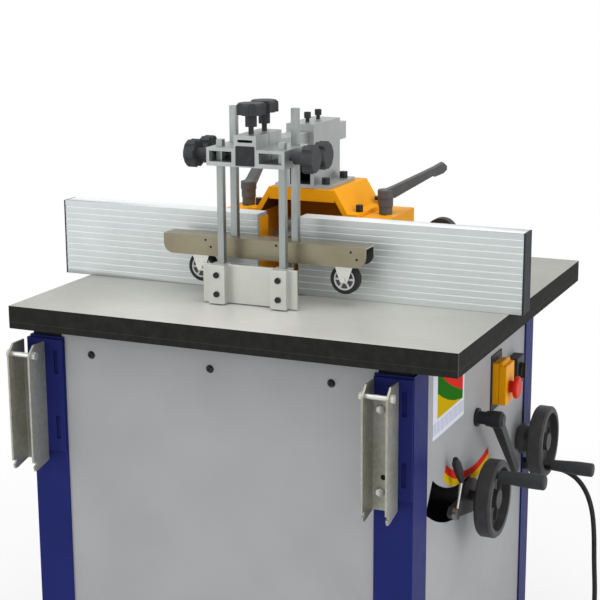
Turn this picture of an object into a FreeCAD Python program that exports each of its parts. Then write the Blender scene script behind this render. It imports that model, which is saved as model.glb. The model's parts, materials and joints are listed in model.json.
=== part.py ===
import FreeCAD, Part
import math
import os
import re
import Sketcher
from FreeCAD import Placement, Rotation, Vector

# Spindle moulder: steel cabinet, cast table, tilting spindle unit, split fence with hood and top guard.
# Frame: origin on the floor under the spindle axis, +X along the fence, +Y away from the operator, +Z up.

doc = FreeCAD.newDocument("spindle_moulder")
sheet = doc.addObject("Spreadsheet::Sheet", "sizes")
aliases = []
places = {}
nodes = {}


def add_sizes(table):
    for alias, value in table.items():
        cell = "A%d" % (len(aliases) + 1)
        sheet.set(cell, str(value))
        sheet.setAlias(cell, alias)
        aliases.append(alias)
    doc.recompute()


def spelled(expression):
    """An expression with each derived place written out in the sheet's own sizes."""
    def swap(word):
        name = word.group(0)
        return "(%s)" % spelled(places[name]) if name in places else name
    return re.sub(r"[a-z_]\w*", swap, str(expression))


def size(expression):
    """Value of an expression in named sizes and places."""
    def number(word):
        return "(%s)" % sheet.get(word.group(0))
    return float(FreeCAD.Units.Quantity(re.sub(r"[a-z_]\w*", number, spelled(expression))).Value)


def formula(expression):
    """The same expression written with the sheet's cells, for binding to a property."""
    return re.sub(r"[a-z_]\w*", lambda word: "sizes." + word.group(0), spelled(expression))


def bind(obj, prop, expression):
    obj.setExpression(prop, formula(expression))


def place(obj, x="0", y="0", z="0", turn=None):
    if turn is not None:
        obj.Placement = Placement(Vector(), turn)
    for axis, expression in zip("xyz", (x, y, z)):
        bind(obj, "Placement.Base." + axis, expression)
    return obj


along_x = Rotation(Vector(0, 1, 0), 90)
along_y = Rotation(Vector(1, 0, 0), -90)
along_z = Rotation()


def box(name, x, y, z):
    """Block between two places on each axis."""
    block = doc.addObject("Part::Box", name)
    for prop, (low, high) in zip(("Length", "Width", "Height"), (x, y, z)):
        bind(block, prop, "(%s) - (%s)" % (high, low))
    return place(block, x[0], y[0], z[0])


def rod(name, axis, radius, centre, span):
    """Cylinder along an axis; centre gives the two other coordinates in X, Y, Z order."""
    cylinder = doc.addObject("Part::Cylinder", name)
    bind(cylinder, "Radius", radius)
    bind(cylinder, "Height", "(%s) - (%s)" % (span[1], span[0]))
    return stand(cylinder, axis, centre, span[0])


def stand(obj, axis, centre, start):
    if axis == "x":
        return place(obj, start, centre[0], centre[1], along_x)
    if axis == "y":
        return place(obj, centre[0], start, centre[1], along_y)
    return place(obj, centre[0], centre[1], start, along_z)


def fuse(name, parts):
    joined = doc.addObject("Part::MultiFuse", name)
    joined.Shapes = list(parts)
    joined.Refine = True
    return joined


def group(name, parts):
    """Separate solids kept side by side in one node."""
    together = doc.addObject("Part::Compound", name)
    together.Links = list(parts)
    return together


def cut(name, base, tools):
    tools = list(tools)
    tool = tools[0] if len(tools) == 1 else fuse(name + "_tools", tools)
    result = doc.addObject("Part::Cut", name)
    result.Base = base
    result.Tool = tool
    result.Refine = True
    return result


def origin_plane(body, role):
    return next(item for item in body.Origin.OriginFeatures if item.Role == role)


def outline(body, name, role, loops):
    """Sketch of closed loops whose corners are bound to the sheet."""
    sketch = body.newObject("Sketcher::SketchObject", name + "_outline")
    sketch.AttachmentSupport = (origin_plane(body, role), "")
    sketch.MapMode = "FlatFace"
    for corners in loops:
        first = sketch.GeometryCount
        spots = [Vector(size(u), size(v), 0) for u, v in corners]
        count = len(spots)
        for index in range(count):
            sketch.addGeometry(Part.LineSegment(spots[index], spots[(index + 1) % count]), False)
        for index in range(count):
            sketch.addConstraint(Sketcher.Constraint(
                "Coincident", first + index, 2, first + (index + 1) % count, 1))
        for index, (u, v) in enumerate(corners):
            for kind, expression in (("DistanceX", u), ("DistanceY", v)):
                number = sketch.addConstraint(Sketcher.Constraint(
                    kind, -1, 1, first + index, 1, size(expression)))
                sketch.setExpression("Constraints[%d]" % number, formula(expression))
    return sketch


def extrusion(name, role, loops, span):
    """Body padded from a bound outline between two places along the plane's normal."""
    body = doc.addObject("PartDesign::Body", name)
    sketch = outline(body, name, role, loops)
    low, high = span
    if role == "XZ_Plane":
        sketch.setExpression("AttachmentOffset.Base.z", formula("-(%s)" % high))
    else:
        sketch.setExpression("AttachmentOffset.Base.z", formula(low))
    pad = body.newObject("PartDesign::Pad", name + "_pad")
    pad.Profile = sketch
    bind(pad, "Length", "(%s) - (%s)" % (high, low))
    return body


def turned(name, axis, profile, centre, start):
    """Body revolved from (radius, height) corners, standing on an axis."""
    body = doc.addObject("PartDesign::Body", name)
    sketch = outline(body, name, "XZ_Plane", [profile])
    spin = body.newObject("PartDesign::Revolution", name + "_turn")
    spin.Profile = sketch
    spin.ReferenceAxis = (sketch, ["V_Axis"])
    spin.Angle = 360
    return stand(body, axis, centre, start)


def node(name, obj):
    obj.Label = name
    nodes[name] = obj
    return obj


def between(start, inward, length):
    """Span of a length that starts at an edge and runs inward (+1) or back (-1)."""
    if inward > 0:
        return (start, "%s + %s" % (start, length))
    return ("%s - (%s)" % (start, length), start)


# Cast table on a folded steel cabinet.
cabinet_sizes = {
    "overrun": 5,
    "table_width": 900, "table_depth": 828, "table_height": 870, "table_thick": 45,
    "spindle_from_left": 430, "spindle_from_front": 368, "table_rib": 26, "table_skin": 18,
    "ring_inner_radius": 50, "inner_ring_width": 20, "outer_ring_width": 22, "ring_seat_width": 12,
    "ring_depth": 12, "ring_ledge": 6, "ring_fit": 0.05,
    "cab_inset_left": 15, "cab_inset_right": 95, "cab_inset_front": 48, "cab_inset_rear": 5,
    "post_leg": 75, "rear_side_leg": 56, "post_wall": 4, "base_thick": 8,
    "anchor_inset": 45, "anchor_radius": 7, "spacer_height": 20, "spacer_side": 60, "spacer_inset": 5,
    "panel_thick": 3, "panel_lap": 6, "panel_gap": 0.5,
    "vent_pitch": 26, "vent_height": 8, "vent_length": 240, "vent_bottom": 200,
    "panel_screw_radius": 8, "screw_neck_share": 0.6, "panel_screw_height": 5, "panel_screw_drop": 95,
    "panel_screw_inset_left": 134, "panel_screw_inset_right": 159, "panel_screw_shift": 7,
    "door_gap": 1.5, "hinge_radius": 6, "hinge_pin_radius": 3, "hinge_fit": 0.05, "hinge_step": 0.5,
    "hinge_knuckle": 28, "hinge_low": 140, "hinge_drop": 165, "hinge_strap": 34,
    "pull_length": 110, "pull_bar": 10, "pull_reach": 34, "pull_bottom": 430, "pull_inset": 30,
}
add_sizes(cabinet_sizes)
places.update({
    "table_left": "-spindle_from_left", "table_right": "table_left + table_width",
    "table_front": "-spindle_from_front", "table_rear": "table_front + table_depth",
    "ring_split_radius": "ring_inner_radius + inner_ring_width",
    "ring_seat_radius": "ring_split_radius + outer_ring_width",
    "table_bore_radius": "ring_seat_radius - ring_seat_width",
    "cab_left": "table_left + cab_inset_left", "cab_right": "table_right - cab_inset_right",
    "cab_front": "table_front + cab_inset_front", "cab_rear": "table_rear - cab_inset_rear",
    "panel_screw_left": "cab_left + panel_screw_inset_left",
    "panel_screw_right": "cab_right - panel_screw_inset_right",
    "panel_screw_middle": "(cab_left + cab_right) / 2 - panel_screw_shift",
    "hinge_high": "table_height - table_thick - spacer_height - hinge_drop",
})
under = "(table_height - table_thick)"
post_top = "(table_height - table_thick - spacer_height)"
corners = [("cab_left", 1, "cab_front", 1), ("cab_right", -1, "cab_front", 1),
           ("cab_left", 1, "cab_rear", -1), ("cab_right", -1, "cab_rear", -1)]


def offset(start, inward, length):
    return "%s %s (%s)" % (start, "+" if inward > 0 else "-", length)


frame_pieces = []
cabinet_screws = []
guard_bolts = []
side_bearings = []


def cabinet_frame():
    tall = ("base_thick", post_top)
    posts = []
    spacers = []
    anchors = []
    for number, (x, inward_x, y, inward_y) in enumerate(corners):
        front = inward_y > 0
        side_leg = "post_leg" if front else "rear_side_leg"
        spacer_depth = "spacer_side" if front else "rear_side_leg - panel_lap - panel_gap - spacer_inset"
        face = box("post_face_%d" % number, between(x, inward_x, "post_leg"),
                   between(y, inward_y, "post_wall"), tall)
        side = box("post_side_%d" % number, between(x, inward_x, "post_wall"),
                   between(y, inward_y, side_leg), tall)
        posts.append(fuse("post_%d" % number, [face, side]))
        spacers.append(box("spacer_%d" % number,
                           between(offset(x, inward_x, "spacer_inset"), inward_x, "spacer_side"),
                           between(offset(y, inward_y, "spacer_inset"), inward_y, spacer_depth),
                           (post_top, under)))
        anchors.append(rod("anchor_%d" % number, "z", "anchor_radius",
                           (offset(x, inward_x, "anchor_inset"), offset(y, inward_y, "anchor_inset")),
                           ("-overrun", "base_thick + overrun")))
    plate = box("base_sheet", ("cab_left", "cab_right"), ("cab_front", "cab_rear"), ("0", "base_thick"))
    node("base_plate", cut("base_plate", plate, anchors))
    frame_pieces.extend(posts + spacers)


def table():
    slab = box("table_slab", ("table_left", "table_right"), ("table_front", "table_rear"),
               (under, "table_height"))
    inner_x = ["cab_left + post_leg", "-(ring_seat_radius + table_rib)", "ring_seat_radius + table_rib",
               "cab_right - post_leg"]
    inner_y = ["cab_front + post_leg", "-(ring_seat_radius + table_rib)", "ring_seat_radius + table_rib",
               "cab_rear - post_leg"]
    cuts = []
    for column in range(3):
        for row in range(3):
            if column == 1 and row == 1:
                continue
            x0 = inner_x[column] + (" + table_rib / 2" if column else "")
            x1 = inner_x[column + 1] + (" - table_rib / 2" if column < 2 else "")
            y0 = inner_y[row] + (" + table_rib / 2" if row else "")
            y1 = inner_y[row + 1] + (" - table_rib / 2" if row < 2 else "")
            cuts.append(box("rib_pocket_%d%d" % (column, row), (x0, x1), (y0, y1),
                            (under + " - overrun", "table_height - table_skin")))
    cuts.append(rod("spindle_bore", "z", "table_bore_radius", ("0", "0"),
                    (under + " - overrun", "table_height + overrun")))
    cuts.append(rod("ring_seat", "z", "ring_seat_radius", ("0", "0"),
                    ("table_height - ring_depth", "table_height + overrun")))
    node("table", cut("table", slab, cuts))
    low = "table_height - ring_depth"
    outer = turned("outer_ring", "z", [
        ("ring_split_radius - ring_ledge", "0"), ("ring_seat_radius - ring_fit", "0"),
        ("ring_seat_radius - ring_fit", "ring_depth"), ("ring_split_radius", "ring_depth"),
        ("ring_split_radius", "ring_ledge"), ("ring_split_radius - ring_ledge", "ring_ledge")], ("0", "0"),
                   low)
    inner = turned("inner_ring", "z", [
        ("ring_inner_radius", "0"), ("ring_split_radius - ring_ledge - ring_fit", "0"),
        ("ring_split_radius - ring_ledge - ring_fit", "ring_ledge"),
        ("ring_split_radius - ring_fit", "ring_ledge"),
        ("ring_split_radius - ring_fit", "ring_depth"), ("ring_inner_radius", "ring_depth")], ("0", "0"),
                   low)
    node("table_rings", group("table_rings", [outer, inner]))


# Sheet panels, the hinged door and the controls of the right side.
control_sizes = {
    "tilt_limit": 30, "slot_margin": 4.6, "slot_radius": 390, "slot_clear": 7, "housing_radius": 26,
    "shaft_radius": 10, "shaft_clear": 1.5, "tilt_wheel_inset": 84, "tilt_wheel_drop": 386,
    "lock_share": 0.13, "lock_drop": 248, "lock_stud_radius": 7, "stud_fit": 0.05,
    "lock_washer_radius": 18.5, "lock_washer_thick": 6, "lock_hub_radius": 15.5, "lock_hub_length": 58,
    "lock_arm_length": 190, "lock_arm_width": 20, "lock_arm_thick": 20, "lock_tip_thick": 11,
    "lock_neck_radius": 13, "lock_neck_length": 16, "lock_head_radius": 17,
    "lock_head_length": 26,
    "lock_boss_wall": 8, "lock_boss_length": 22,
    "switch_share": 0.409, "switch_drop": 206, "switch_plate_width": 70, "switch_plate_height": 118,
    "switch_width": 58, "switch_height": 86, "switch_plate_thick": 3, "switch_body": 12, "switch_wall": 4,
    "switch_flap": 16, "switch_flap_gap": 0.4, "flap_knuckle_radius": 4, "push_radius": 9, "push_rise": 2,
    "push_spread": 19, "push_fit": 0.3, "push_stroke": 2,
    "stop_radius": 23, "stop_stem_radius": 12, "stop_stem_length": 11, "stop_cap": 9, "stop_round": 3,
    "stop_drop": 10,
    "selector_share": 0.648, "selector_drop": 4, "selector_width": 54, "selector_height": 60,
    "selector_depth": 23, "selector_knob_radius": 16, "selector_knob_depth": 5, "selector_grip": 9,
    "selector_grip_rise": 11, "selector_gap": 0.3,
}
add_sizes(control_sizes)
places.update({
    "slot_half": "housing_radius + slot_clear",
    "tilt_wheel_y": "cab_rear - tilt_wheel_inset", "tilt_wheel_z": "table_height - tilt_wheel_drop",
    "lock_z": "table_height - lock_drop", "lock_boss_radius": "lock_stud_radius + lock_boss_wall",
    "switch_y": "cab_rear * switch_share", "switch_z": "table_height - switch_drop",
    "selector_z": "switch_z - selector_drop",
    "selector_y": "cab_rear * selector_share", "lock_y": "cab_rear * lock_share",
})
side_face = "(cab_right - post_wall)"


def panels():
    top = under + " - panel_gap"
    lap_x = ("cab_left + post_leg - panel_lap", "cab_right - post_leg + panel_lap")
    lap_y = ("cab_front + post_leg - panel_lap", "cab_rear - rear_side_leg + panel_lap")
    node("front_panel", box("front_panel", lap_x,
                            between("(cab_front + post_wall)", 1, "panel_thick"), ("base_thick", top)))
    rear = box("rear_sheet", lap_x, between("(cab_rear - post_wall)", -1, "panel_thick"),
               ("base_thick", top))
    vents = []
    for row in range(6):
        low = "vent_bottom + %d * vent_pitch" % row
        vents.append(box("vent_%d" % row, ("-vent_length / 2", "vent_length / 2"),
                         ("cab_rear - post_wall - panel_thick - overrun", "cab_rear"),
                         (low, low + " + vent_height")))
    node("rear_panel", cut("rear_panel", rear, vents))
    for number, x in enumerate(("panel_screw_left", "panel_screw_middle", "panel_screw_right")):
        head = doc.addObject("Part::Cone", "panel_screw_%d" % number)
        bind(head, "Radius1", "panel_screw_radius * screw_neck_share")
        bind(head, "Radius2", "panel_screw_radius")
        bind(head, "Height", "panel_screw_height")
        cabinet_screws.append(stand(head, "y", (x, "table_height - panel_screw_drop"),
                                    "cab_front + post_wall - panel_screw_height"))
    side = box("right_sheet", between(side_face, -1, "panel_thick"), lap_y, ("base_thick", top))
    through = (side_face + " - panel_thick - overrun", side_face + " + overrun")
    sweep = doc.addObject("Part::Cylinder", "slot_outer")
    bind(sweep, "Radius", "slot_radius + slot_half")
    bind(sweep, "Height", "panel_thick + 2 * overrun")
    bind(sweep, "Angle", "tilt_limit + 2 * slot_margin")
    turn = Rotation(Vector(1, 0, 0), -size("tilt_limit + slot_margin")).multiply(along_x)
    place(sweep, through[0], "0", "table_height", turn)
    core = rod("slot_inner", "x", "slot_radius - slot_half", ("0", "table_height"),
               (through[0] + " - overrun", through[1] + " + overrun"))
    slot = cut("arc_slot", sweep, [core])
    holes = [slot,
             rod("tilt_shaft_hole", "x", "shaft_radius + shaft_clear", ("tilt_wheel_y", "tilt_wheel_z"),
                 through),
             rod("lock_hole", "x", "lock_stud_radius + stud_fit", ("lock_y", "lock_z"), through)]
    node("right_panel", cut("right_panel", side, holes))


def door():
    low_y = "cab_front + post_leg + door_gap"
    high_y = "cab_rear - rear_side_leg - door_gap"
    axis_x = "cab_left - hinge_radius - hinge_step"
    axis_y = "cab_rear - rear_side_leg"
    leaf = box("door_leaf", between("cab_left", 1, "panel_thick"), (low_y, high_y),
               ("base_thick + door_gap", post_top))
    pieces = [leaf]
    fixed = []
    for number, height in enumerate(("hinge_low", "hinge_high")):
        upper = (height + " + hinge_knuckle + hinge_step", height + " + 2 * hinge_knuckle")
        lower = (height, height + " + hinge_knuckle")
        barrel = rod("door_barrel_%d" % number, "z", "hinge_radius", (axis_x, axis_y), upper)
        strap = box("door_strap_%d" % number, between("cab_left", -1, "hinge_step + panel_thick"),
                    (axis_y + " - hinge_strap", axis_y + " - hinge_step"), upper)
        bore = rod("door_bore_%d" % number, "z", "hinge_pin_radius + hinge_fit", (axis_x, axis_y),
                   (upper[0] + " - overrun", upper[1] + " + overrun"))
        pieces.append(cut("door_knuckle_%d" % number, fuse("door_hinge_%d" % number, [barrel, strap]),
                          [bore]))
        post_barrel = rod("post_barrel_%d" % number, "z", "hinge_radius", (axis_x, axis_y), lower)
        post_strap = box("post_strap_%d" % number, between("cab_left", -1, "hinge_step + panel_thick"),
                         (axis_y + " + hinge_step", axis_y + " + hinge_strap"), lower)
        pin = rod("hinge_pin_%d" % number, "z", "hinge_pin_radius", (axis_x, axis_y), (lower[0], upper[1]))
        fixed.append(fuse("post_hinge_%d" % number, [post_barrel, post_strap, pin]))
    node("corner_posts", group("corner_posts", frame_pieces + fixed))
    y = between("(%s + pull_inset)" % low_y, 1, "pull_bar")
    z = ("pull_bottom", "pull_bottom + pull_length")
    bar = box("pull_bar_block", between("cab_left", -1, "pull_reach"), y, z)
    gap = box("pull_gap", between("(cab_left + overrun)", -1, "overrun + pull_reach - pull_bar"),
              (y[0] + " - overrun", y[1] + " + overrun"), (z[0] + " + pull_bar", z[1] + " - pull_bar"))
    pieces.append(cut("door_pull", bar, [gap]))
    node("access_door", fuse("access_door", pieces))


def switch_and_selector():
    face = side_face
    plate_front = face + " + switch_plate_thick"
    body_front = plate_front + " + switch_body"
    plate = box("switch_back", (face, plate_front),
                ("switch_y - switch_plate_width / 2", "switch_y + switch_plate_width / 2"),
                ("switch_z - switch_plate_height / 2", "switch_z + switch_plate_height / 2"))
    y = ("switch_y - switch_width / 2", "switch_y + switch_width / 2")
    z = ("switch_z - switch_height / 2", "switch_z + switch_height / 2")
    body = box("switch_block", (plate_front, body_front), y, z)
    recess = box("switch_recess", (body_front + " - push_rise - push_stroke", body_front + " + overrun"),
                 (y[0] + " + switch_wall", y[1] + " - switch_wall"),
                 (z[0] + " + switch_wall", z[1] + " - switch_wall"))
    push = ("switch_y", "switch_z + push_spread")
    low = body_front + " - push_rise - 2 * push_stroke"
    well = rod("start_well", "x", "push_radius + push_fit", push, (low + " - push_stroke", body_front))
    node("start_button", rod("start_button", "x", "push_radius", push,
                             (low, body_front + " - switch_flap_gap")))
    node("switch_housing", cut("switch_housing", fuse("switch_case", [plate, body]), [recess, well]))
    flap_back = body_front + " + switch_flap_gap"
    flap_front = flap_back + " + switch_flap"
    cover = box("flap_block", (flap_back, flap_front), y, (z[0], z[1] + " - flap_knuckle_radius"))
    nose = rod("flap_nose", "y", "flap_knuckle_radius", (flap_back + " + flap_knuckle_radius", z[1]),
               (y[0] + " + switch_wall", y[1] + " - switch_wall"))
    web = box("flap_web", (flap_back, flap_back + " + 2 * flap_knuckle_radius"),
              (y[0] + " + switch_wall", y[1] + " - switch_wall"),
              (z[1] + " - 2 * flap_knuckle_radius", z[1]))
    centre = ("switch_y", "switch_z - stop_drop")
    stem_hole = rod("stop_hole", "x", "stop_stem_radius + push_fit", centre,
                    (flap_front + " - switch_flap / 2", flap_front + " + overrun"))
    node("switch_flap", cut("switch_flap", fuse("flap_form", [cover, nose, web]), [stem_hole]))
    cap_end = "stop_stem_length + stop_cap"
    node("stop_button", turned("stop_button", "x", [
        ("0", "-(switch_flap / 2 - push_stroke)"), ("stop_stem_radius", "-(switch_flap / 2 - push_stroke)"),
        ("stop_stem_radius", "stop_stem_length"), ("stop_radius", "stop_stem_length"),
        ("stop_radius", cap_end + " - stop_round"), ("stop_radius - stop_round", cap_end),
        ("0", cap_end)], centre, flap_front))
    case = box("selector_block", (face, face + " + selector_depth"),
               ("selector_y - selector_width / 2", "selector_y + selector_width / 2"),
               ("selector_z - selector_height / 2", "selector_z + selector_height / 2"))
    node("selector_box", case)
    knob_back = face + " + selector_depth + selector_gap"
    disc = rod("selector_disc", "x", "selector_knob_radius", ("selector_y", "selector_z"),
               (knob_back, knob_back + " + selector_knob_depth"))
    grip = box("selector_grip_bar", (knob_back, knob_back + " + selector_grip_rise"),
               ("selector_y - selector_grip / 2", "selector_y + selector_grip / 2"),
               ("selector_z - selector_knob_radius", "selector_z + selector_knob_radius"))
    node("selector_knob", fuse("selector_knob", [disc, grip]))


def lock_lever():
    face = side_face
    stud = rod("lock_stud", "x", "lock_stud_radius", ("lock_y", "lock_z"),
               (face + " - panel_thick - lock_boss_length + overrun", face + " + lock_hub_length"))
    washer = rod("lock_washer", "x", "lock_washer_radius", ("lock_y", "lock_z"),
                 between(face, 1, "lock_washer_thick"))
    neck_end = "lock_washer_thick + lock_neck_length"
    head_start = "lock_hub_length - lock_head_length"
    hub = turned("lock_hub", "x", [
        ("0", "0"), ("lock_neck_radius", "0"), ("lock_neck_radius", neck_end),
        ("lock_hub_radius", neck_end), ("lock_hub_radius", head_start), ("lock_head_radius", head_start),
        ("lock_head_radius", "lock_hub_length - lock_washer_thick"),
        ("lock_head_radius - lock_washer_thick", "lock_hub_length"), ("0", "lock_hub_length")],
        ("lock_y", "lock_z"), face)
    arm = extrusion("lock_arm", "XZ_Plane", [[
        ("-lock_arm_thick", "0"), ("0", "0"), ("0", "-lock_arm_length"),
        ("-lock_tip_thick", "-lock_arm_length")]], ("-lock_arm_width / 2", "lock_arm_width / 2"))
    tip = rod("lock_tip", "x", "lock_arm_width / 2", ("0", "-lock_arm_length"), ("-lock_tip_thick", "0"))
    swung = fuse("lock_swing", [arm, tip])
    lean = math.degrees(math.asin(size("(tilt_wheel_y / 2 - lock_y) / lock_arm_length")))
    place(swung, face + " + lock_hub_length - lock_washer_thick", "lock_y", "lock_z",
          Rotation(Vector(1, 0, 0), lean))
    node("lock_lever", fuse("lock_lever", [stud, washer, hub, swung]))
    boss = rod("lock_boss_outer", "x", "lock_boss_radius", ("lock_y", "lock_z"),
               (face + " - panel_thick - lock_boss_length", face + " - panel_thick"))
    bore = rod("lock_boss_bore", "x", "lock_stud_radius + stud_fit", ("lock_y", "lock_z"),
               (face + " - panel_thick - lock_boss_length - overrun", face))
    side_bearings.append(cut("lock_boss", boss, [bore]))


# Zinc hanger brackets on slotted carriers at the front posts.
bracket_sizes = {
    "carrier_thick": 5, "carrier_drop": 5, "carrier_height": 226, "carrier_width": 74, "carrier_return": 50,
    "carrier_slot_width": 9, "carrier_slot_length": 46, "carrier_slot_inset": 58, "carrier_slot_drop": 68,
    "carrier_slot_rise": 26,
    "bracket_width": 50, "bracket_depth": 55, "bracket_wall": 4, "bracket_drop": 5, "bracket_height": 250,
    "bracket_overhang": 15, "bracket_shift_right": 2, "bracket_top_cut": 18, "bracket_hook": 9,
    "bracket_hook_lip": 6, "bracket_tail": 10, "bracket_bolt_radius": 5, "bracket_bolt_inset": 14,
    "bracket_bolt_drop": 20, "bracket_bolt_head_wall": 3.5, "bracket_bolt_head_thick": 7, "bolt_fit": 0.05,
}
add_sizes(bracket_sizes)
places.update({
    "carrier_top": "table_height - table_thick - spacer_height - carrier_drop",
    "carrier_bottom": "carrier_top - carrier_height",
    "carrier_slot_high": "carrier_top - carrier_slot_drop",
    "carrier_slot_low": "carrier_bottom + carrier_slot_rise",
    "bracket_top": "carrier_top - bracket_drop", "bracket_bottom": "bracket_top - bracket_height",
    "bracket_bolt_head": "bracket_bolt_radius + bracket_bolt_head_wall",
})


def hexagon(name, axis, across, centre, span):
    """Hexagonal head, across its corners."""
    head = doc.addObject("Part::Prism", name)
    head.Polygon = 6
    bind(head, "Circumradius", across)
    bind(head, "Height", "(%s) - (%s)" % (span[1], span[0]))
    return stand(head, axis, centre, span[0])


def hanger_brackets():
    rear = "cab_front - carrier_thick"
    front = "%s - bracket_depth" % rear
    carriers = []
    brackets = []
    sides = (("left", "cab_left", "cab_left - bracket_overhang"),
             ("right", "(cab_right - post_leg)", "cab_right - post_leg - bracket_shift_right"))
    for side, post_x, x in sides:
        tall = ("carrier_bottom", "carrier_top")
        plate = box(side + "_carrier_face", (post_x, post_x + " + carrier_width"), (rear, "cab_front"),
                    tall)
        slots = []
        for level in ("carrier_slot_high", "carrier_slot_low"):
            middle = post_x + " + carrier_slot_inset"
            slots.append(box("%s_slot_%s" % (side, level[-4:].strip("_")),
                             (middle + " - carrier_slot_width / 2", middle + " + carrier_slot_width / 2"),
                             (rear + " - overrun", "cab_front + overrun"),
                             (level, level + " + carrier_slot_length")))
        if side == "left":
            turn = box("left_carrier_return", (post_x + " - carrier_thick", post_x),
                       (rear, rear + " + carrier_return"), tall)
            plate = fuse("left_carrier_angle", [plate, turn])
        carriers.append(cut(side + "_carrier", plate, slots))
        flank = extrusion(side + "_bracket_side", "YZ_Plane", [[
            (rear, "bracket_bottom + bracket_tail"), (rear, "bracket_top"),
            (front + " + bracket_top_cut", "bracket_top"), (front, "bracket_top - bracket_top_cut"),
            (front, "bracket_bottom + 2 * bracket_hook"),
            (front + " + bracket_hook", "bracket_bottom + 2 * bracket_hook"),
            (front + " + bracket_hook", "bracket_bottom + bracket_hook + bracket_hook_lip / 2"),
            (front + " + bracket_hook_lip / 2", "bracket_bottom + bracket_hook"),
            (front + " + bracket_hook_lip", "bracket_bottom"),
            (front + " + bracket_hook + bracket_hook_lip", "bracket_bottom")]], (x, x + " + bracket_width"))
        trough = box(side + "_bracket_trough",
                     (x + " + bracket_wall", x + " + bracket_width - bracket_wall"),
                     (front + " - overrun", rear + " - bracket_wall"),
                     ("bracket_bottom - overrun", "bracket_top + overrun"))
        spot = (front + " + bracket_bolt_inset", "bracket_top - bracket_bolt_drop")
        hole = rod(side + "_bracket_hole", "x", "bracket_bolt_radius + bolt_fit", spot,
                   (x + " - overrun", x + " + bracket_width + overrun"))
        brackets.append(cut(side + "_bracket", flank, [trough, hole]))
        shank = rod(side + "_bolt_shank", "x", "bracket_bolt_radius", spot,
                    (x + " - bracket_bolt_head_thick", x + " + bracket_width + bracket_bolt_head_thick"))
        heads = [hexagon(side + "_bolt_head", "x", "bracket_bolt_head", spot,
                         (x + " - bracket_bolt_head_thick", x)),
                 hexagon(side + "_bolt_nut", "x", "bracket_bolt_head", spot,
                         (x + " + bracket_width", x + " + bracket_width + bracket_bolt_head_thick"))]
        cabinet_screws.append(fuse(side + "_cross_bolt", [shank] + heads))
    node("bracket_carriers", group("bracket_carriers", carriers))
    node("hanger_brackets", group("hanger_brackets", brackets))
    node("cabinet_screws", group("cabinet_screws", cabinet_screws))


# Split fence, its carriers, the extraction base and the hood.
fence_sizes = {
    "fence_reach": 70, "fence_depth": 43, "fence_height": 153, "fence_clear": 0.5, "fence_gap_half": 43.5,
    "fence_left_length": 439, "fence_right_length": 450, "fence_wall": 10, "fence_flange": 8,
    "groove_width": 2, "groove_depth": 1.2, "end_cap_thick": 3.5, "slide_gap": 0.3,
    "base_half": 121, "base_wall": 26, "base_front": 45, "base_depth": 185, "base_back_wall": 8,
    "base_height": 136, "wing_reach": 61, "wing_thick": 10, "wing_inset": 17, "wing_length": 120,
    "key_height": 10, "key_reach": 5, "key_rise": 65,
    "carrier_span": 59, "carrier_rear_inset": 15, "carrier_nose_step": 7, "carrier_arm_length": 150,
    "carrier_arm_depth": 51, "carrier_arm_drop": 11.5, "carrier_arm_height": 62,
    "clamp_stud_out": 32, "clamp_stud_back": 75, "clamp_stud_radius": 6, "carrier_travel": 10,
    "lever_neck_radius": 13.5, "lever_neck": 16, "lever_hub_radius": 16.5, "lever_hub_height": 50,
    "lever_cap_height": 17, "lever_cap_step": 1.5, "lever_arm_length": 125, "lever_arm_width": 18,
    "lever_arm_thick": 23, "lever_arm_rise": 33, "lever_waist_thick": 15, "lever_tip_length": 26,
    "lever_tip_thick": 18, "lever_tip_radius": 7, "lever_left_angle": 98, "lever_right_angle": 36,
    "spigot_radius": 50, "spigot_wall": 3, "spigot_length": 60, "spigot_clear": 3,
    "base_foot_thick": 14, "base_foot_width": 34, "base_foot_length": 60, "base_bolt_head": 10,
    "base_bolt_thick": 8,
    "hood_height": 54, "hood_foot": 21, "hood_lean": 28, "hood_foot_thick": 8, "hood_wall": 8,
    "hood_rear_inset": 8, "hood_lip": 25, "hood_bolt_inset": 10, "hood_bolt_back": 37, "hood_bolt_head": 8,
    "hood_bolt_thick": 14, "hood_knob_inset": 26, "hood_knob_radius": 14, "hood_knob_height": 14,
    "knurl_out": 120, "knurl_drop": 20, "knurl_radius": 30, "knurl_length": 24, "knurl_gap": 2,
    "knurl_screw_radius": 6, "knurl_grip": 3,
}
add_sizes(fence_sizes)
places.update({
    "fence_front": "-fence_reach", "base_rear": "base_front + base_depth",
    "base_top": "table_height + base_height",
    "wing_half": "base_half + wing_reach", "wing_front": "base_front + wing_inset",
    "wing_rear": "wing_front + wing_length", "key_level": "table_height + key_rise",
    "carrier_out": "base_half + carrier_span", "carrier_back": "base_rear - carrier_rear_inset",
    "carrier_nose_back": "fence_front + fence_depth + carrier_nose_step",
    "carrier_arm_out": "carrier_out + carrier_arm_length",
    "carrier_arm_back": "fence_front + fence_depth + carrier_arm_depth",
    "carrier_arm_high": "table_height + fence_clear + fence_height - carrier_arm_drop",
    "carrier_arm_low": "carrier_arm_high - carrier_arm_height",
    "clamp_lever_x": "base_half + clamp_stud_out", "clamp_lever_y": "base_front + clamp_stud_back",
    "spigot_z": "table_height + spigot_clear + spigot_radius",
    "hood_top": "base_top + hood_height", "hood_shoulder_half": "base_half - hood_foot",
    "hood_top_half": "hood_shoulder_half - hood_lean", "hood_rear": "base_rear - hood_rear_inset",
    "hood_bolt_x": "base_half - hood_bolt_inset", "hood_bolt_y": "base_front + hood_bolt_back",
    "hood_knob_x": "hood_shoulder_half + hood_knob_radius", "hood_knob_y": "hood_rear - hood_knob_inset",
    "knurl_x": "carrier_out + knurl_out", "knurl_z": "carrier_arm_high - knurl_drop",
})
fence_low = "(table_height + fence_clear)"
fence_top = "(table_height + fence_clear + fence_height)"
fence_rear = "(fence_front + fence_depth)"
groove_count = 11


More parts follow.
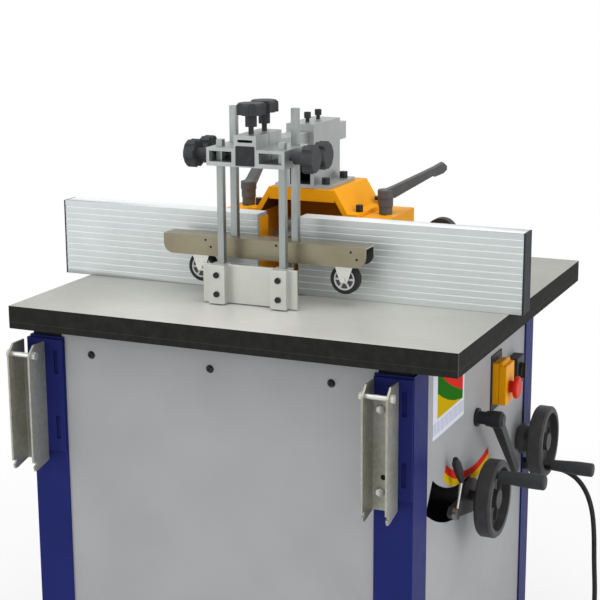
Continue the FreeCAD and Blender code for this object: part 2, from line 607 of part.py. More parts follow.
def fence_profile():
    points = [("fence_front", fence_low)]
    for row in range(1, groove_count + 1):
        middle = "%s + fence_height * %d / %d" % (fence_low, row, groove_count + 1)
        low, high = middle + " - groove_width / 2", middle + " + groove_width / 2"
        points += [("fence_front", low), ("fence_front + groove_depth", low),
                   ("fence_front + groove_depth", high), ("fence_front", high)]
    inner_low, inner_high = fence_low + " + fence_flange", fence_top + " - fence_flange"
    points += [("fence_front", fence_top), (fence_rear, fence_top), (fence_rear, inner_high),
               ("fence_front + fence_wall", inner_high), ("fence_front + fence_wall", inner_low),
               (fence_rear, inner_low), (fence_rear, fence_low)]
    return points


def fences():
    ends = (("left", "-(fence_gap_half + fence_left_length)", "-fence_gap_half"),
            ("right", "fence_gap_half", "fence_gap_half + fence_right_length"))
    for side, low, high in ends:
        profile = extrusion(side + "_fence_profile", "YZ_Plane", [fence_profile()], (low, high))
        x = ("%s - end_cap_thick" % low, low) if side == "left" else (high, "%s + end_cap_thick" % high)
        cap = box(side + "_fence_cap", x, ("fence_front", fence_rear), (fence_low, fence_top))
        node("fence_plate_" + side, group("fence_plate_" + side, [profile, cap]))


def mirror_x(side, low, high):
    """Span given for the right side, taken to the left by changing its sign."""
    return (low, high) if side == "right" else ("-(%s)" % high, "-(%s)" % low)


def fence_carriers():
    inside = "fence_front + fence_wall + slide_gap"
    low, high = fence_low + " + fence_flange + slide_gap", fence_top + " - fence_flange - slide_gap"
    block_low = "table_height + wing_thick + slide_gap"
    for side in ("left", "right"):
        nose = box(side + "_nose", mirror_x(side, "fence_gap_half", "carrier_out"),
                   (inside, "carrier_nose_back"), (low, high))
        inner = "base_half + slide_gap"
        body = box(side + "_carrier_block", mirror_x(side, inner, "carrier_out"),
                   ("carrier_nose_back", "carrier_back"), (block_low, "base_top"))
        parts = [nose, body]
        if side == "right":
            parts.append(box("right_carrier_arm", ("carrier_out", "carrier_arm_out"),
                             (fence_rear + " + slide_gap", "carrier_arm_back"),
                             ("carrier_arm_low", "carrier_arm_high")))
        groove = box(side + "_key_groove", mirror_x(side, "base_half - overrun", inner + " + key_reach"),
                     ("carrier_nose_back - overrun", "carrier_back + overrun"),
                     ("key_level - slide_gap", "key_level + key_height + slide_gap"))
        slot = box(side + "_stud_slot",
                   mirror_x(side, "clamp_lever_x - clamp_stud_radius - slide_gap",
                            "clamp_lever_x + clamp_stud_radius + slide_gap"),
                   ("clamp_lever_y - carrier_travel - clamp_stud_radius - slide_gap",
                    "clamp_lever_y + carrier_travel + clamp_stud_radius + slide_gap"),
                   (block_low + " - overrun", "base_top + overrun"))
        cuts = [groove, slot]
        if side == "right":
            cuts.append(rod("knurl_hole", "y", "knurl_screw_radius + stud_fit", ("knurl_x", "knurl_z"),
                            (fence_rear, "carrier_arm_back + overrun")))
        node("fence_carrier_" + side,
             cut("fence_carrier_" + side, fuse(side + "_carrier_form", parts), cuts))


def extraction_base():
    parts = []
    cuts = []
    for side in ("left", "right"):
        parts.append(box(side + "_base_wall", mirror_x(side, "base_half - base_wall", "base_half"),
                         ("base_front", "base_rear"), ("table_height", "base_top")))
        parts.append(box(side + "_wing", mirror_x(side, "base_half", "wing_half"),
                         ("wing_front", "wing_rear"),
                         ("table_height", "table_height + wing_thick")))
        parts.append(box(side + "_key", mirror_x(side, "base_half", "base_half + key_reach"),
                         ("base_front", "carrier_back"), ("key_level", "key_level + key_height")))
        parts.append(box(side + "_foot",
                         mirror_x(side, "base_half - base_wall - base_foot_width", "base_half - base_wall"),
                         ("base_rear - base_back_wall - base_foot_length", "base_rear - base_back_wall"),
                         ("table_height", "table_height + base_foot_thick")))
        x = "clamp_lever_x" if side == "right" else "-clamp_lever_x"
        cuts.append(rod(side + "_stud_bore", "z", "clamp_stud_radius + stud_fit", (x, "clamp_lever_y"),
                        ("table_height + wing_thick / 2", "table_height + wing_thick + overrun")))
    parts.append(box("base_back", ("-base_half", "base_half"), ("base_rear - base_back_wall", "base_rear"),
                     ("table_height", "base_top")))
    parts.append(rod("spigot_tube", "y", "spigot_radius", ("0", "spigot_z"),
                     ("base_rear - base_back_wall", "base_rear + spigot_length")))
    cuts.append(rod("spigot_bore", "y", "spigot_radius - spigot_wall", ("0", "spigot_z"),
                    ("base_rear - base_back_wall - overrun", "base_rear + spigot_length + overrun")))
    node("extraction_base", cut("extraction_base", fuse("base_casting", parts), cuts))
    for side, sign in (("left", "-"), ("right", "")):
        spot = ("%s(base_half - base_wall - base_foot_width / 2)" % sign,
                "base_rear - base_back_wall - base_foot_length / 2")
        guard_bolts.append(hexagon(side + "_base_bolt", "z", "base_bolt_head", spot,
                                   between("table_height + base_foot_thick", 1, "base_bolt_thick")))


def hood():
    inner_top = "hood_top - hood_wall"
    shell = extrusion("hood_shell", "XZ_Plane", [[
        ("-base_half", "base_top"), ("-(hood_shoulder_half - hood_wall)", "base_top"),
        ("-(hood_top_half - hood_wall)", inner_top), ("hood_top_half - hood_wall", inner_top),
        ("hood_shoulder_half - hood_wall", "base_top"), ("base_half", "base_top"),
        ("base_half", "base_top + hood_foot_thick"), ("hood_shoulder_half", "base_top + hood_foot_thick"),
        ("hood_top_half", "hood_top"), ("-hood_top_half", "hood_top"),
        ("-hood_shoulder_half", "base_top + hood_foot_thick"),
        ("-base_half", "base_top + hood_foot_thick")]],
        ("base_front", "hood_rear"))
    back = extrusion("hood_back", "XZ_Plane", [[
        ("-hood_shoulder_half", "base_top"), ("hood_shoulder_half", "base_top"),
        ("hood_shoulder_half", "base_top + hood_foot_thick"), ("hood_top_half", "hood_top"),
        ("-hood_top_half", "hood_top"), ("-hood_shoulder_half", "base_top + hood_foot_thick")]],
        ("hood_rear - hood_wall", "hood_rear"))
    lip = extrusion("hood_lip_plate", "XZ_Plane", [[
        ("-hood_top_half", "hood_top - hood_lip"), ("hood_top_half", "hood_top - hood_lip"),
        ("hood_top_half - hood_wall / 2", "hood_top - hood_wall / 2"),
        ("-(hood_top_half - hood_wall / 2)", "hood_top - hood_wall / 2")]],
        ("base_front", "base_front + hood_wall"))
    node("hood", fuse("hood", [shell, back, lip]))
    seat = "base_top + hood_foot_thick"
    for side, sign in (("left", "-"), ("right", "")):
        guard_bolts.append(hexagon(side + "_hood_bolt", "z", "hood_bolt_head",
                                   (sign + "hood_bolt_x", "hood_bolt_y"),
                                   (seat, seat + " + hood_bolt_thick")))
    guard_bolts.append(turned("hood_knob", "z", [
        ("0", "0"), ("hood_knob_radius / 2", "0"), ("hood_knob_radius / 2", "hood_knob_height / 2"),
        ("hood_knob_radius", "hood_knob_height / 2"), ("hood_knob_radius", "hood_knob_height"),
        ("0", "hood_knob_height")], ("hood_knob_x", "hood_knob_y"), seat))


def clamp_levers():
    cap_low = "lever_hub_height - lever_cap_height"
    tip_start = "lever_arm_length - lever_tip_length"
    waist_low = "lever_arm_rise * (lever_arm_length - lever_tip_length) / lever_arm_length"
    for side, sign, angle in (("left", "-", "lever_left_angle"), ("right", "", "lever_right_angle")):
        spot = (sign + "clamp_lever_x", "clamp_lever_y")
        seat = "base_top + slide_gap"
        stud = rod(side + "_lever_stud", "z", "clamp_stud_radius", spot,
                   ("table_height + wing_thick / 2", seat + " + lever_neck"))
        hub = turned(side + "_lever_hub", "z", [
            ("0", "0"), ("lever_neck_radius", "0"), ("lever_neck_radius", "lever_neck"),
            ("lever_hub_radius - lever_cap_step", "lever_neck"),
            ("lever_hub_radius - lever_cap_step", cap_low),
            ("lever_hub_radius", cap_low), ("lever_hub_radius", "lever_hub_height - lever_cap_step"),
            ("lever_hub_radius - lever_cap_step", "lever_hub_height"), ("0", "lever_hub_height")], spot,
                     seat)
        arm = extrusion(side + "_lever_arm", "XZ_Plane", [[
            ("0", "-lever_cap_height"), ("lever_hub_radius", "-lever_cap_height"),
            (tip_start, waist_low), (tip_start, waist_low + " - lever_tip_radius / 2"),
            ("lever_arm_length - lever_tip_radius", "lever_arm_rise - lever_tip_radius / 2"),
            ("lever_arm_length", "lever_arm_rise + lever_tip_radius / 2"),
            ("lever_arm_length", "lever_arm_rise + lever_tip_thick - lever_tip_radius"),
            ("lever_arm_length - lever_tip_radius", "lever_arm_rise + lever_tip_thick"),
            (tip_start, waist_low + " + lever_waist_thick"),
            ("lever_hub_radius", "lever_arm_thick - lever_cap_height"), ("0", "0")]],
            ("-lever_arm_width / 2", "lever_arm_width / 2"))
        place(arm, spot[0], spot[1], seat + " + lever_hub_height", Rotation(Vector(0, 0, 1), size(angle)))
        node("clamp_lever_" + side, fuse("clamp_lever_" + side, [stud, hub, arm]))


def fence_adjuster():
    node("fence_adjuster", turned("fence_adjuster", "y", [
        ("0", "-(carrier_arm_back - %s - overrun)" % fence_rear),
        ("knurl_screw_radius", "-(carrier_arm_back - %s - overrun)" % fence_rear),
        ("knurl_screw_radius", "knurl_gap"), ("knurl_radius / 2", "knurl_gap"),
        ("knurl_radius / 2", "knurl_gap + knurl_grip"),
        ("knurl_radius", "knurl_gap + knurl_grip"), ("knurl_radius", "knurl_gap + knurl_length"),
        ("knurl_radius - knurl_grip", "knurl_gap + knurl_length + knurl_grip"),
        ("0", "knurl_gap + knurl_length + knurl_grip")], ("knurl_x", "knurl_z"), "carrier_arm_back"))


# Column, sliding arm and the two clamp blocks of the top guard.
guard_sizes = {
    "column_half": 30, "column_overhang": 5, "column_depth": 136, "column_wall": 8, "column_height": 130,
    "column_head": 62, "flange_reach": 30, "flange_front_step": 10, "flange_rear_step": 8,
    "column_flange_thick": 8, "column_bolt_out": 14, "column_bolt_front_inset": 18,
    "column_bolt_rear_inset": 22, "column_bolt_head": 9, "column_bolt_thick": 13,
    "arm_half": 19, "arm_floor": 12, "arm_height": 36, "arm_tail": 61, "arm_end_step": 1, "arm_wall": 3,
    "arm_cap": 3, "arm_fit": 0.3, "arm_screw_radius": 4, "arm_screw_head_wall": 3,
    "arm_screw_head_thick": 12,
    "arm_screw_rise": 8, "arm_screw_front_inset": 38, "arm_screw_rear_inset": 44,
    "shoe_reach": 114, "block_half": 80, "block_floor": 3, "block_frame": 34, "block_hat_wall": 4,
    "block_roof": 20, "block_gap": 2, "window_inset": 5, "window_wall": 6, "window_sill": 8,
    "window_lintel": 6, "hat_slot_inset": 4, "hat_slot_rise": 7, "hat_slot_height": 5,
    "bar_side": 13, "bar_inset": 16, "bar_fit": 0.15, "front_bar_rise": 13, "rear_bar_rise": 70,
    "knob_radius": 27, "knob_apart": 4, "knob_thick": 22, "knob_hub_radius": 11, "knob_hub": 22,
    "knob_screw_radius": 5, "knob_scallop_radius": 9, "knob_scallop_out": 4, "knob_screw_gap": 0.3,
    "side_knob_gap": 8, "knob_crown": 4, "top_knob_gap": 14,
    "shoe_wing": 34, "shoe_clear": 2, "shoe_height": 75, "shoe_wing_reach": 15, "shoe_wing_thick": 6,
    "shoe_pilaster_half": 17, "shoe_pilaster_reach": 27, "shoe_recess_reach": 9, "shoe_recess_thick": 6,
    "shoe_back_reach": 10, "shoe_socket_depth": 66,
    "roller_bar_left_reach": 210, "roller_bar_right_reach": 215, "roller_bar_half": 22,
    "roller_bar_rise": 80,
    "roller_bar_height": 39, "roller_bar_wall": 3, "roller_bar_corner": 20,
    "roller_left_inset": 76, "roller_right_inset": 48, "roller_drop": 26, "roller_radius": 29,
    "roller_half": 10, "tyre_thick": 8, "roller_axle_radius": 4, "axle_fit": 0.05, "fork_gap": 1,
    "fork_plate": 2, "fork_width": 20, "fork_top": 4, "tyre_fit": 0.05, "rim_recess": 3,
    "rim_hub_wall": 4, "axle_nut": 3,
}
add_sizes(guard_sizes)
places.update({
    "column_front": "base_front - column_overhang", "column_rear": "column_front + column_depth",
    "column_top": "hood_top + column_height", "column_head_low": "column_top - column_head",
    "column_flange_half": "column_half + flange_reach",
    "column_flange_front": "column_front + flange_front_step",
    "column_flange_rear": "column_rear + flange_rear_step",
    "column_bolt_x": "column_half + column_bolt_out",
    "column_bolt_front": "column_flange_front + column_bolt_front_inset",
    "column_bolt_rear": "column_flange_rear - column_bolt_rear_inset",
    "arm_low": "column_head_low + arm_floor", "arm_high": "arm_low + arm_height",
    "arm_rear": "column_rear + arm_tail", "arm_screw_head": "arm_screw_radius + arm_screw_head_wall",
    "arm_front": "block_front_y - block_length / 2 + arm_end_step",
    "arm_screw_front": "column_front + arm_screw_front_inset",
    "arm_screw_rear": "column_rear - arm_screw_rear_inset",
    "block_pitch": "2 * knob_radius + knob_apart", "block_length": "block_pitch - block_gap",
    "block_front_y": "fence_front - shoe_reach", "block_rear_y": "block_front_y + block_pitch",
    "block_low": "arm_low - block_floor", "block_frame_high": "block_low + block_frame",
    "block_hat_half": "arm_half + block_hat_wall", "block_top": "arm_high + block_roof",
    "window_inner": "block_hat_half + window_inset", "window_outer": "block_half - window_wall",
    "window_low": "block_low + window_sill", "window_high": "block_frame_high - window_lintel",
    "hat_slot_half": "arm_half - hat_slot_inset", "hat_slot_low": "arm_high + hat_slot_rise",
    "hat_slot_high": "hat_slot_low + hat_slot_height", "bar_x": "block_half - bar_inset",
    "front_bar_top": "block_frame_high + front_bar_rise",
    "rear_bar_top": "block_frame_high + rear_bar_rise",
    "knob_scallop_reach": "knob_radius + knob_scallop_out", "side_knob_z": "(window_low + window_high) / 2",
    "shoe_half": "bar_x + shoe_wing", "shoe_low": "table_height + shoe_clear",
    "shoe_top": "shoe_low + shoe_height", "shoe_wing_front": "block_front_y - shoe_wing_reach",
    "shoe_pilaster_front": "block_front_y - shoe_pilaster_reach",
    "shoe_recess_front": "block_front_y - shoe_recess_reach",
    "shoe_back": "block_front_y + shoe_back_reach",
    "roller_bar_left": "-roller_bar_left_reach", "roller_bar_right": "roller_bar_right_reach",
    "roller_bar_low": "table_height + roller_bar_rise",
    "roller_bar_high": "roller_bar_low + roller_bar_height",
    "roller_left_x": "roller_bar_left + roller_left_inset",
    "roller_right_x": "roller_bar_right - roller_right_inset", "roller_z": "roller_bar_low - roller_drop",
    "roller_rim_radius": "roller_radius - tyre_thick",
    "rim_hub_radius": "roller_axle_radius + rim_hub_wall",
})
head_x = ("-column_half", "column_half")


def column():
    low = "hood_top + column_flange_thick"
    head = box("column_head", head_x, ("column_front", "column_rear"), ("column_head_low", "column_top"))
    walls = [box("column_left_wall", ("-column_half", "-column_half + column_wall"),
                 ("column_front", "column_rear"), (low, "column_head_low")),
             box("column_right_wall", ("column_half - column_wall", "column_half"),
                 ("column_front", "column_rear"), (low, "column_head_low")),
             box("column_back_wall", head_x, ("column_rear - column_wall", "column_rear"),
                 (low, "column_head_low"))]
    flange = box("column_flange", ("-column_flange_half", "column_flange_half"),
                 ("column_flange_front", "column_flange_rear"), ("hood_top", low))
    tunnel = box("arm_tunnel", ("-(arm_half + arm_fit)", "arm_half + arm_fit"),
                 ("column_front - overrun", "column_rear + overrun"),
                 ("arm_low - arm_fit", "arm_high + arm_fit"))
    holes = [tunnel]
    for number, y in enumerate(("arm_screw_front", "arm_screw_rear")):
        holes.append(rod("arm_screw_hole_%d" % number, "z", "arm_screw_radius + stud_fit", ("0", y),
                         ("arm_high", "column_top + overrun")))
        shank = rod("arm_screw_shank_%d" % number, "z", "arm_screw_radius", ("0", y),
                    ("arm_high + arm_fit", "column_top + arm_screw_rise"))
        head_span = ("column_top + arm_screw_rise", "column_top + arm_screw_rise + arm_screw_head_thick")
        cap = rod("arm_screw_cap_%d" % number, "z", "arm_screw_head", ("0", y), head_span)
        socket = hexagon("arm_screw_socket_%d" % number, "z", "arm_screw_radius", ("0", y),
                         (head_span[0] + " + arm_screw_rise / 2", head_span[1] + " + overrun"))
        form = fuse("arm_screw_form_%d" % number, [shank, cap])
        guard_bolts.append(cut("arm_screw_%d" % number, form, [socket]))
    node("column", cut("column", fuse("column_casting", [head, flange] + walls), holes))
    for side, x in (("left", "-column_bolt_x"), ("right", "column_bolt_x")):
        for y in ("column_bolt_front", "column_bolt_rear"):
            guard_bolts.append(hexagon("%s_%s" % (side, y), "z", "column_bolt_head", (x, y),
                                       (low, low + " + column_bolt_thick")))
    node("guard_bolts", group("guard_bolts", guard_bolts))


def arm():
    outer = [("-arm_half", "arm_low"), ("arm_half", "arm_low"), ("arm_half", "arm_high"),
             ("-arm_half", "arm_high")]
    inner = [("-(arm_half - arm_wall)", "arm_low + arm_wall"),
             ("arm_half - arm_wall", "arm_low + arm_wall"),
             ("arm_half - arm_wall", "arm_high - arm_wall"),
             ("-(arm_half - arm_wall)", "arm_high - arm_wall")]
    tube_form = extrusion("arm_tube", "XZ_Plane", [outer, inner], ("arm_front", "arm_rear"))
    cap = box("arm_end_cap", ("-arm_half", "arm_half"), ("arm_front - arm_cap", "arm_front"),
              ("arm_low", "arm_high"))
    node("guard_arm", group("guard_arm", [tube_form, cap]))


def clamp_blocks():
    for side, y in (("front", "block_front_y"), ("rear", "block_rear_y")):
        loops = [[("-block_half", "block_low"), ("block_half", "block_low"),
                  ("block_half", "block_frame_high"),
                  ("block_hat_half", "block_frame_high"), ("block_hat_half", "block_top"),
                  ("-block_hat_half", "block_top"), ("-block_hat_half", "block_frame_high"),
                  ("-block_half", "block_frame_high")],
                 [("-(arm_half + arm_fit)", "arm_low - arm_fit"),
                  ("arm_half + arm_fit", "arm_low - arm_fit"),
                  ("arm_half + arm_fit", "arm_high + arm_fit"),
                  ("-(arm_half + arm_fit)", "arm_high + arm_fit")],
                 [("-hat_slot_half", "hat_slot_low"), ("hat_slot_half", "hat_slot_low"),
                  ("hat_slot_half", "hat_slot_high"), ("-hat_slot_half", "hat_slot_high")]]
        for sign in ("-", ""):
            inner, outer = sign + "window_inner", sign + "window_outer"
            loops.append([(inner, "window_low"), (outer, "window_low"), (outer, "window_high"),
                          (inner, "window_high")])
        body = extrusion(side + "_block_section", "XZ_Plane", loops,
                         (y + " - block_length / 2", y + " + block_length / 2"))
        reach = "bar_side / 2 + bar_fit"
        cuts = []
        for sign in ("-", ""):
            x = sign + "bar_x"
            cuts.append(box("%s_bar_hole_%s" % (side, sign or "p"),
                            (x + " - (%s)" % reach, x + " + " + reach),
                            (y + " - (%s)" % reach, y + " + " + reach),
                            ("block_low - overrun", "block_frame_high + overrun")))
            span = mirror_x("right" if sign == "" else "left", "bar_x", "block_half + overrun")
            cuts.append(rod("%s_knob_hole_%s" % (side, sign or "p"), "x", "knob_screw_radius + stud_fit",
                            (y, "side_knob_z"), span))
        cuts.append(rod(side + "_top_hole", "z", "knob_screw_radius + stud_fit", ("0", y),
                        ("arm_high", "block_top + overrun")))
        node("clamp_block_" + side, cut("clamp_block_" + side, body, cuts))


def star_knob(name, reach, gap):
    """Star knob on its own axis: screw below zero, hub, then a scalloped head with a low crown."""
    head_low = gap + " + knob_hub"
    head_high = head_low + " + knob_thick"
    form = turned(name + "_form", "z", [
        ("0", "-(%s)" % reach), ("knob_screw_radius", "-(%s)" % reach), ("knob_screw_radius", gap),
        ("knob_hub_radius", gap), ("knob_hub_radius", head_low), ("knob_radius", head_low),
        ("knob_radius", head_high + " - knob_crown"), ("knob_radius - knob_crown", head_high),
        ("0", head_high)],
        ("0", "0"), "0")
    scallops = []
    for step in range(6):
        angle = math.radians(60 * step)
        spot = ("knob_scallop_reach * %.6f" % math.cos(angle),
                "knob_scallop_reach * %.6f" % math.sin(angle))
        scallops.append(rod("%s_scallop_%d" % (name, step), "z", "knob_scallop_radius", spot,
                            (head_low + " - overrun", head_high + " + overrun")))
    return node(name, cut(name, form, scallops))


def guard_knobs():
    end_reach = "block_half - bar_x - bar_side / 2 - knob_screw_gap"
    for side, y in (("front", "block_front_y"), ("rear", "block_rear_y")):
        knob = star_knob("side_knob_%s_right" % side, end_reach, "side_knob_gap")
        place(knob, "block_half", y, "side_knob_z", Rotation(Vector(0, 1, 0), 90))
        knob = star_knob("side_knob_%s_left" % side, end_reach, "side_knob_gap")
        place(knob, "-block_half", y, "side_knob_z", Rotation(Vector(0, 1, 0), -90))
        knob = star_knob("top_knob_" + side, "block_top - arm_high - knob_screw_gap", "top_knob_gap")
        place(knob, "0", y, "block_top")


def square_bars(name, y, low, high):
    half = "bar_side / 2"
    return [box("%s_bar_%s" % (name, side), ("%s - %s" % (x, half), "%s + %s" % (x, half)),
                ("%s - %s" % (y, half), "%s + %s" % (y, half)), (low, high))
            for side, x in (("left", "-bar_x"), ("right", "bar_x"))]


def shoe():
    left, right = "-shoe_half", "shoe_half"
    inner, outer = "bar_x - shoe_pilaster_half", "bar_x + shoe_pilaster_half"
    wing_back = "shoe_wing_front + shoe_wing_thick"
    recess_back = "shoe_recess_front + shoe_recess_thick"
    front = [(left, "shoe_wing_front"), ("-(%s)" % outer, "shoe_wing_front"),
             ("-(%s)" % outer, "shoe_pilaster_front"),
             ("-(%s)" % inner, "shoe_pilaster_front"), ("-(%s)" % inner, "shoe_recess_front"),
             (inner, "shoe_recess_front"), (inner, "shoe_pilaster_front"), (outer, "shoe_pilaster_front"),
             (outer, "shoe_wing_front"), (right, "shoe_wing_front")]
    back = [(right, wing_back), (outer, wing_back), (outer, "shoe_back"), (inner, "shoe_back"),
            (inner, recess_back), ("-(%s)" % inner, recess_back), ("-(%s)" % inner, "shoe_back"),
            ("-(%s)" % outer, "shoe_back"), ("-(%s)" % outer, wing_back), (left, wing_back)]
    body = extrusion("shoe_section", "XY_Plane", [front + back], ("shoe_low", "shoe_top"))
    reach = "bar_side / 2 + bar_fit / 2"
    cuts = []
    for sign in ("-", ""):
        x = sign + "bar_x"
        cuts.append(box("shoe_socket_%s" % (sign or "p"), (x + " - (%s)" % reach, x + " + " + reach),
                        ("block_front_y - (%s)" % reach, "block_front_y + " + reach),
                        ("shoe_top - shoe_socket_depth", "shoe_top + overrun")))
    bars = square_bars("shoe", "block_front_y", "shoe_top - shoe_socket_depth", "front_bar_top")
    node("pressure_shoe", group("pressure_shoe", [cut("shoe_casting", body, cuts)] + bars))


def roller_bar():
    half, wall = "roller_bar_half", "roller_bar_wall"
    y = "block_rear_y"
    across = ("%s - %s" % (y, half), "%s + %s" % (y, half))
    past = (across[0] + " - overrun", across[1] + " + overrun")
    side = box("roller_bar_side", ("roller_bar_left", "roller_bar_right"), across,
               ("roller_bar_low", "roller_bar_high"))
    corner_z = "roller_bar_low + roller_bar_corner"
    corner_cuts = []
    for name, end, inward in (("left", "roller_bar_left", 1), ("right", "roller_bar_right", -1)):
        centre_x = offset(end, inward, "roller_bar_corner")
        outside = offset(end, -inward, "overrun")
        across_x = (outside, centre_x) if inward > 0 else (centre_x, outside)
        block = box(name + "_corner_block", across_x, past, ("roller_bar_low - overrun", corner_z))
        arc = rod(name + "_corner_arc", "y", "roller_bar_corner", (centre_x, corner_z), past)
        corner_cuts.append(cut(name + "_corner_cut", block, [arc]))
    trough = box("roller_bar_trough", ("roller_bar_left - overrun", "roller_bar_right + overrun"),
                 ("%s - %s + %s" % (y, half, wall), "%s + %s - %s" % (y, half, wall)),
                 ("roller_bar_low - overrun", "roller_bar_high - " + wall))
    pieces = [cut("roller_channel", side, [trough] + corner_cuts)]
    pieces += square_bars("roller", y, "roller_bar_high", "rear_bar_top")
    for name, x in (("left", "roller_left_x"), ("right", "roller_right_x")):
        inner = "roller_half + fork_gap"
        outer = inner + " + fork_plate"
        crown_top = "roller_bar_high - " + wall
        crown_low = "roller_z + roller_radius + fork_gap"
        parts = [box(name + "_fork_crown", (x + " - fork_width", x + " + fork_width"),
                     ("%s - (%s)" % (y, outer), "%s + %s" % (y, outer)),
                     (crown_low, crown_low + " + fork_top")),
                 rod(name + "_fork_stem", "z", "fork_width / 3", (x, y), (crown_low, crown_top))]
        for sign, key in (("-", "near"), ("+", "far")):
            low_y, high_y = "%s %s (%s)" % (y, sign, inner), "%s %s (%s)" % (y, sign, outer)
            span = (high_y, low_y) if sign == "-" else (low_y, high_y)
            parts.append(extrusion("%s_fork_%s" % (name, key), "XZ_Plane", [[
                (x + " - fork_width", crown_low + " + fork_top"), (x + " - fork_width", crown_low),
                (x + " - fork_width / 3", "roller_z - fork_width / 3"),
                (x + " + fork_width / 3", "roller_z - fork_width / 3"),
                (x + " + fork_width", crown_low), (x + " + fork_width", crown_low + " + fork_top")]], span))
        axle = rod(name + "_roller_axle", "y", "roller_axle_radius", (x, "roller_z"),
                   ("%s - (%s) - axle_nut" % (y, outer), "%s + %s + axle_nut" % (y, outer)))
        pieces.append(fuse(name + "_fork", parts + [axle]))
        width = "2 * roller_half"
        rim = turned(name + "_rim", "y", [
            ("roller_axle_radius + axle_fit", "0"), ("rim_hub_radius", "0"),
            ("rim_hub_radius", "rim_recess"),
            ("roller_rim_radius - rim_recess", "rim_recess"), ("roller_rim_radius - rim_recess", "0"),
            ("roller_rim_radius", "0"), ("roller_rim_radius", width),
            ("roller_rim_radius - rim_recess", width),
            ("roller_rim_radius - rim_recess", width + " - rim_recess"),
            ("rim_hub_radius", width + " - rim_recess"),
            ("rim_hub_radius", width), ("roller_axle_radius + axle_fit", width)],
            (x, "roller_z"), "%s - roller_half" % y)
        tyre = turned(name + "_tyre", "y", [
            ("roller_rim_radius + tyre_fit", "0"), ("roller_radius - rim_recess", "0"),
            ("roller_radius", "rim_recess"),
            ("roller_radius", width + " - rim_recess"), ("roller_radius - rim_recess", width),
            ("roller_rim_radius + tyre_fit", width)], (x, "roller_z"), "%s - roller_half" % y)
        node("roller_" + name, group("roller_" + name, [rim, tyre]))
    node("roller_bar", group("roller_bar", pieces))


# Tilting spindle unit under the table: trunnion, quill, spindle, motor and belt.
spindle_sizes = {
    "cheek_half": 92, "cheek_thick": 10, "cheek_front_reach": 50, "cheek_back": 45, "cheek_below": 50,
    "cheek_step": 5, "guide_apart": 9.7, "guide_thick": 18.3, "guide_groove": 8.3, "guide_half": 116,
    "guide_foot": 14, "crescent_inner": 100, "crescent_depth": 30, "crescent_start": -20,
    "crescent_sweep": 75,
    "floor_thick": 15, "floor_back": 15, "slide_out": 66, "slide_front": 26, "column_radius": 11,
    "bush_fit": 0.05, "lug_step": 1, "lug_thick": 16, "lug_reach": 14, "lug_half": 17,
    "quill_drop": 13, "quill_length": 152, "quill_wall": 14, "quill_clear": 6.5, "bearing_wall": 13.5,
    "bearing_width": 16, "bearing_fit": 0.05, "slide_lug_clear": 8, "slide_lug_height": 112,
    "slide_lug_wall": 9, "slide_lug_half": 22, "rack_apart": 1.5, "rack_width": 12, "rack_depth": 13.7,
    "rack_below": 60, "rack_lap": 45, "rack_bridge": 15, "pinion_radius": 20, "pinion_gap": 0.3,
    "housing_reach": 5, "flange_radius": 34, "flange_thick": 10,
    "spindle_radius": 17.5, "spindle_tail": 54, "nose_radius": 24, "nose_gap": 4, "nose_rise": 10,
    "arbor_radius": 15, "arbor_reach": 136, "spacer_wall": 7, "disc_reach": 18, "disc_rise": 96,
    "disc_thick": 12, "nut_wall": 4, "nut_thick": 22, "ring_fit_arbor": 0.05,
    "pulley_step": 10, "pulley_edge": 6, "spindle_pulley": 33, "motor_pulley": 58, "pulley_rim": 6,
    "belt_thick": 8, "belt_height": 16, "belt_gap": 0.3, "pulley_fit": 0.05,
    "motor_apart": 45, "motor_radius": 75, "motor_gap": 22, "motor_height": 184, "motor_shaft": 12,
    "motor_pad_step": 10, "motor_pad_half": 50, "motor_pad_rise": 34, "motor_pad_height": 90,
    "motor_rim": 10,
}
add_sizes(spindle_sizes)
